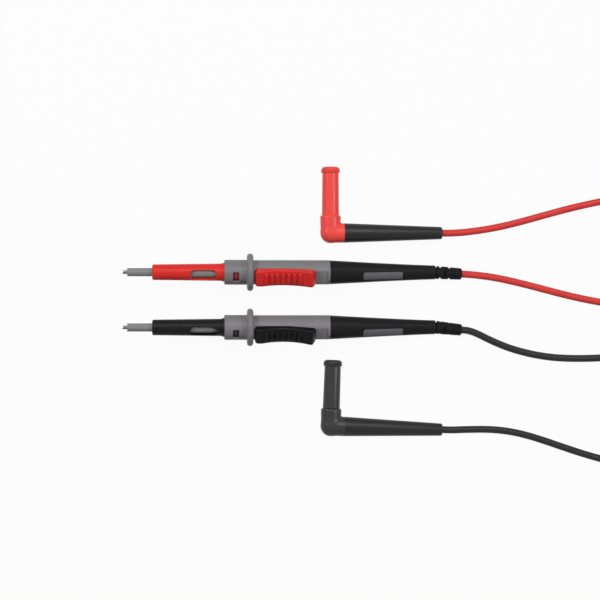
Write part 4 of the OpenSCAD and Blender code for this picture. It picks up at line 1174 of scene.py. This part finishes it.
onCord = {lead: [makeBoot(lead), makeElbow(lead), makeShroud(lead), makeStrap(lead)] for lead in leads}
print("plug pieces made")


# the floor is white to the camera and lies just under the parts; its size is in
# metres and its drop in millimetres
stageSettings = {"floorSize": 30.0, "floorDrop": 0.02, "floorWhite": 0.36, "shadowShare": 0.08,
                 "glow": 1.03, "skyLight": 0.15}


def rayMask(tree):
    rays = addNode(tree, "ShaderNodeLightPath")
    seen = addMath(tree, "MAXIMUM", rays.outputs["Is Camera Ray"], rays.outputs["Is Glossy Ray"])
    return addMath(tree, "MAXIMUM", seen, rays.outputs["Is Transmission Ray"])


def makeFloor():
    half, white = stageSettings["floorSize"] / 2, stageSettings["floorWhite"]
    mesh = bpy.data.meshes.new("floor")
    mesh.from_pydata([(-half, -half, 0), (half, -half, 0), (half, half, 0), (-half, half, 0)], [],
                     [(0, 1, 2, 3)])
    floor = bpy.data.objects.new("floor", mesh)
    floor.location.z = -stageSettings["floorDrop"] * mm
    scene.collection.objects.link(floor)
    material, tree, _ = newMaterial("floorPaper")
    tree.nodes.clear()
    paper = addOut(tree, "ShaderNodeBsdfDiffuse", {"Color": (white, white, white, 1)})
    glow = addOut(tree, "ShaderNodeEmission", {"Color": (1, 1, 1, 1), "Strength": stageSettings["glow"]})
    share = times(tree, rayMask(tree), 1 - stageSettings["shadowShare"])
    mixed = addOut(tree, "ShaderNodeMixShader", {0: share, 1: paper, 2: glow})
    addNode(tree, "ShaderNodeOutputMaterial", {0: mixed})
    mesh.materials.append(material)


def makeWorld():
    world = bpy.data.worlds.new("studio")
    scene.world = world
    world.use_nodes = True
    tree = world.node_tree
    tree.nodes.clear()
    strength = addRange(tree, rayMask(tree), 0.0, 1.0, stageSettings["skyLight"], 1.0)
    sky = addNode(tree, "ShaderNodeBackground", {"Color": (1, 1, 1, 1), "Strength": strength})
    addNode(tree, "ShaderNodeOutputWorld", {0: sky.outputs[0]})


# area lamps that all face the middle of the scene, in metres and watts
lamps = [
    {"name": "key", "at": (-1.0, 0.55, 1.0), "size": 0.45, "power": 10.5},
    {"name": "top", "at": (0.05, 0.7, 1.25), "size": 0.65, "power": 8.5},
    {"name": "fill", "at": (1.15, 0.05, 0.95), "size": 0.35, "power": 8},
]


def makeLamp(settings):
    data = bpy.data.lights.new(settings["name"], "AREA")
    data.size = settings["size"]
    data.energy = settings["power"]
    lamp = bpy.data.objects.new(settings["name"], data)
    lamp.location = settings["at"]
    lamp.rotation_euler = (-Vector(settings["at"])).to_track_quat("-Z", "Y").to_euler()
    scene.collection.objects.link(lamp)


makeFloor()
makeWorld()
for settings in lamps:
    makeLamp(settings)
scene.view_settings.view_transform = "Standard"
print("stage made")
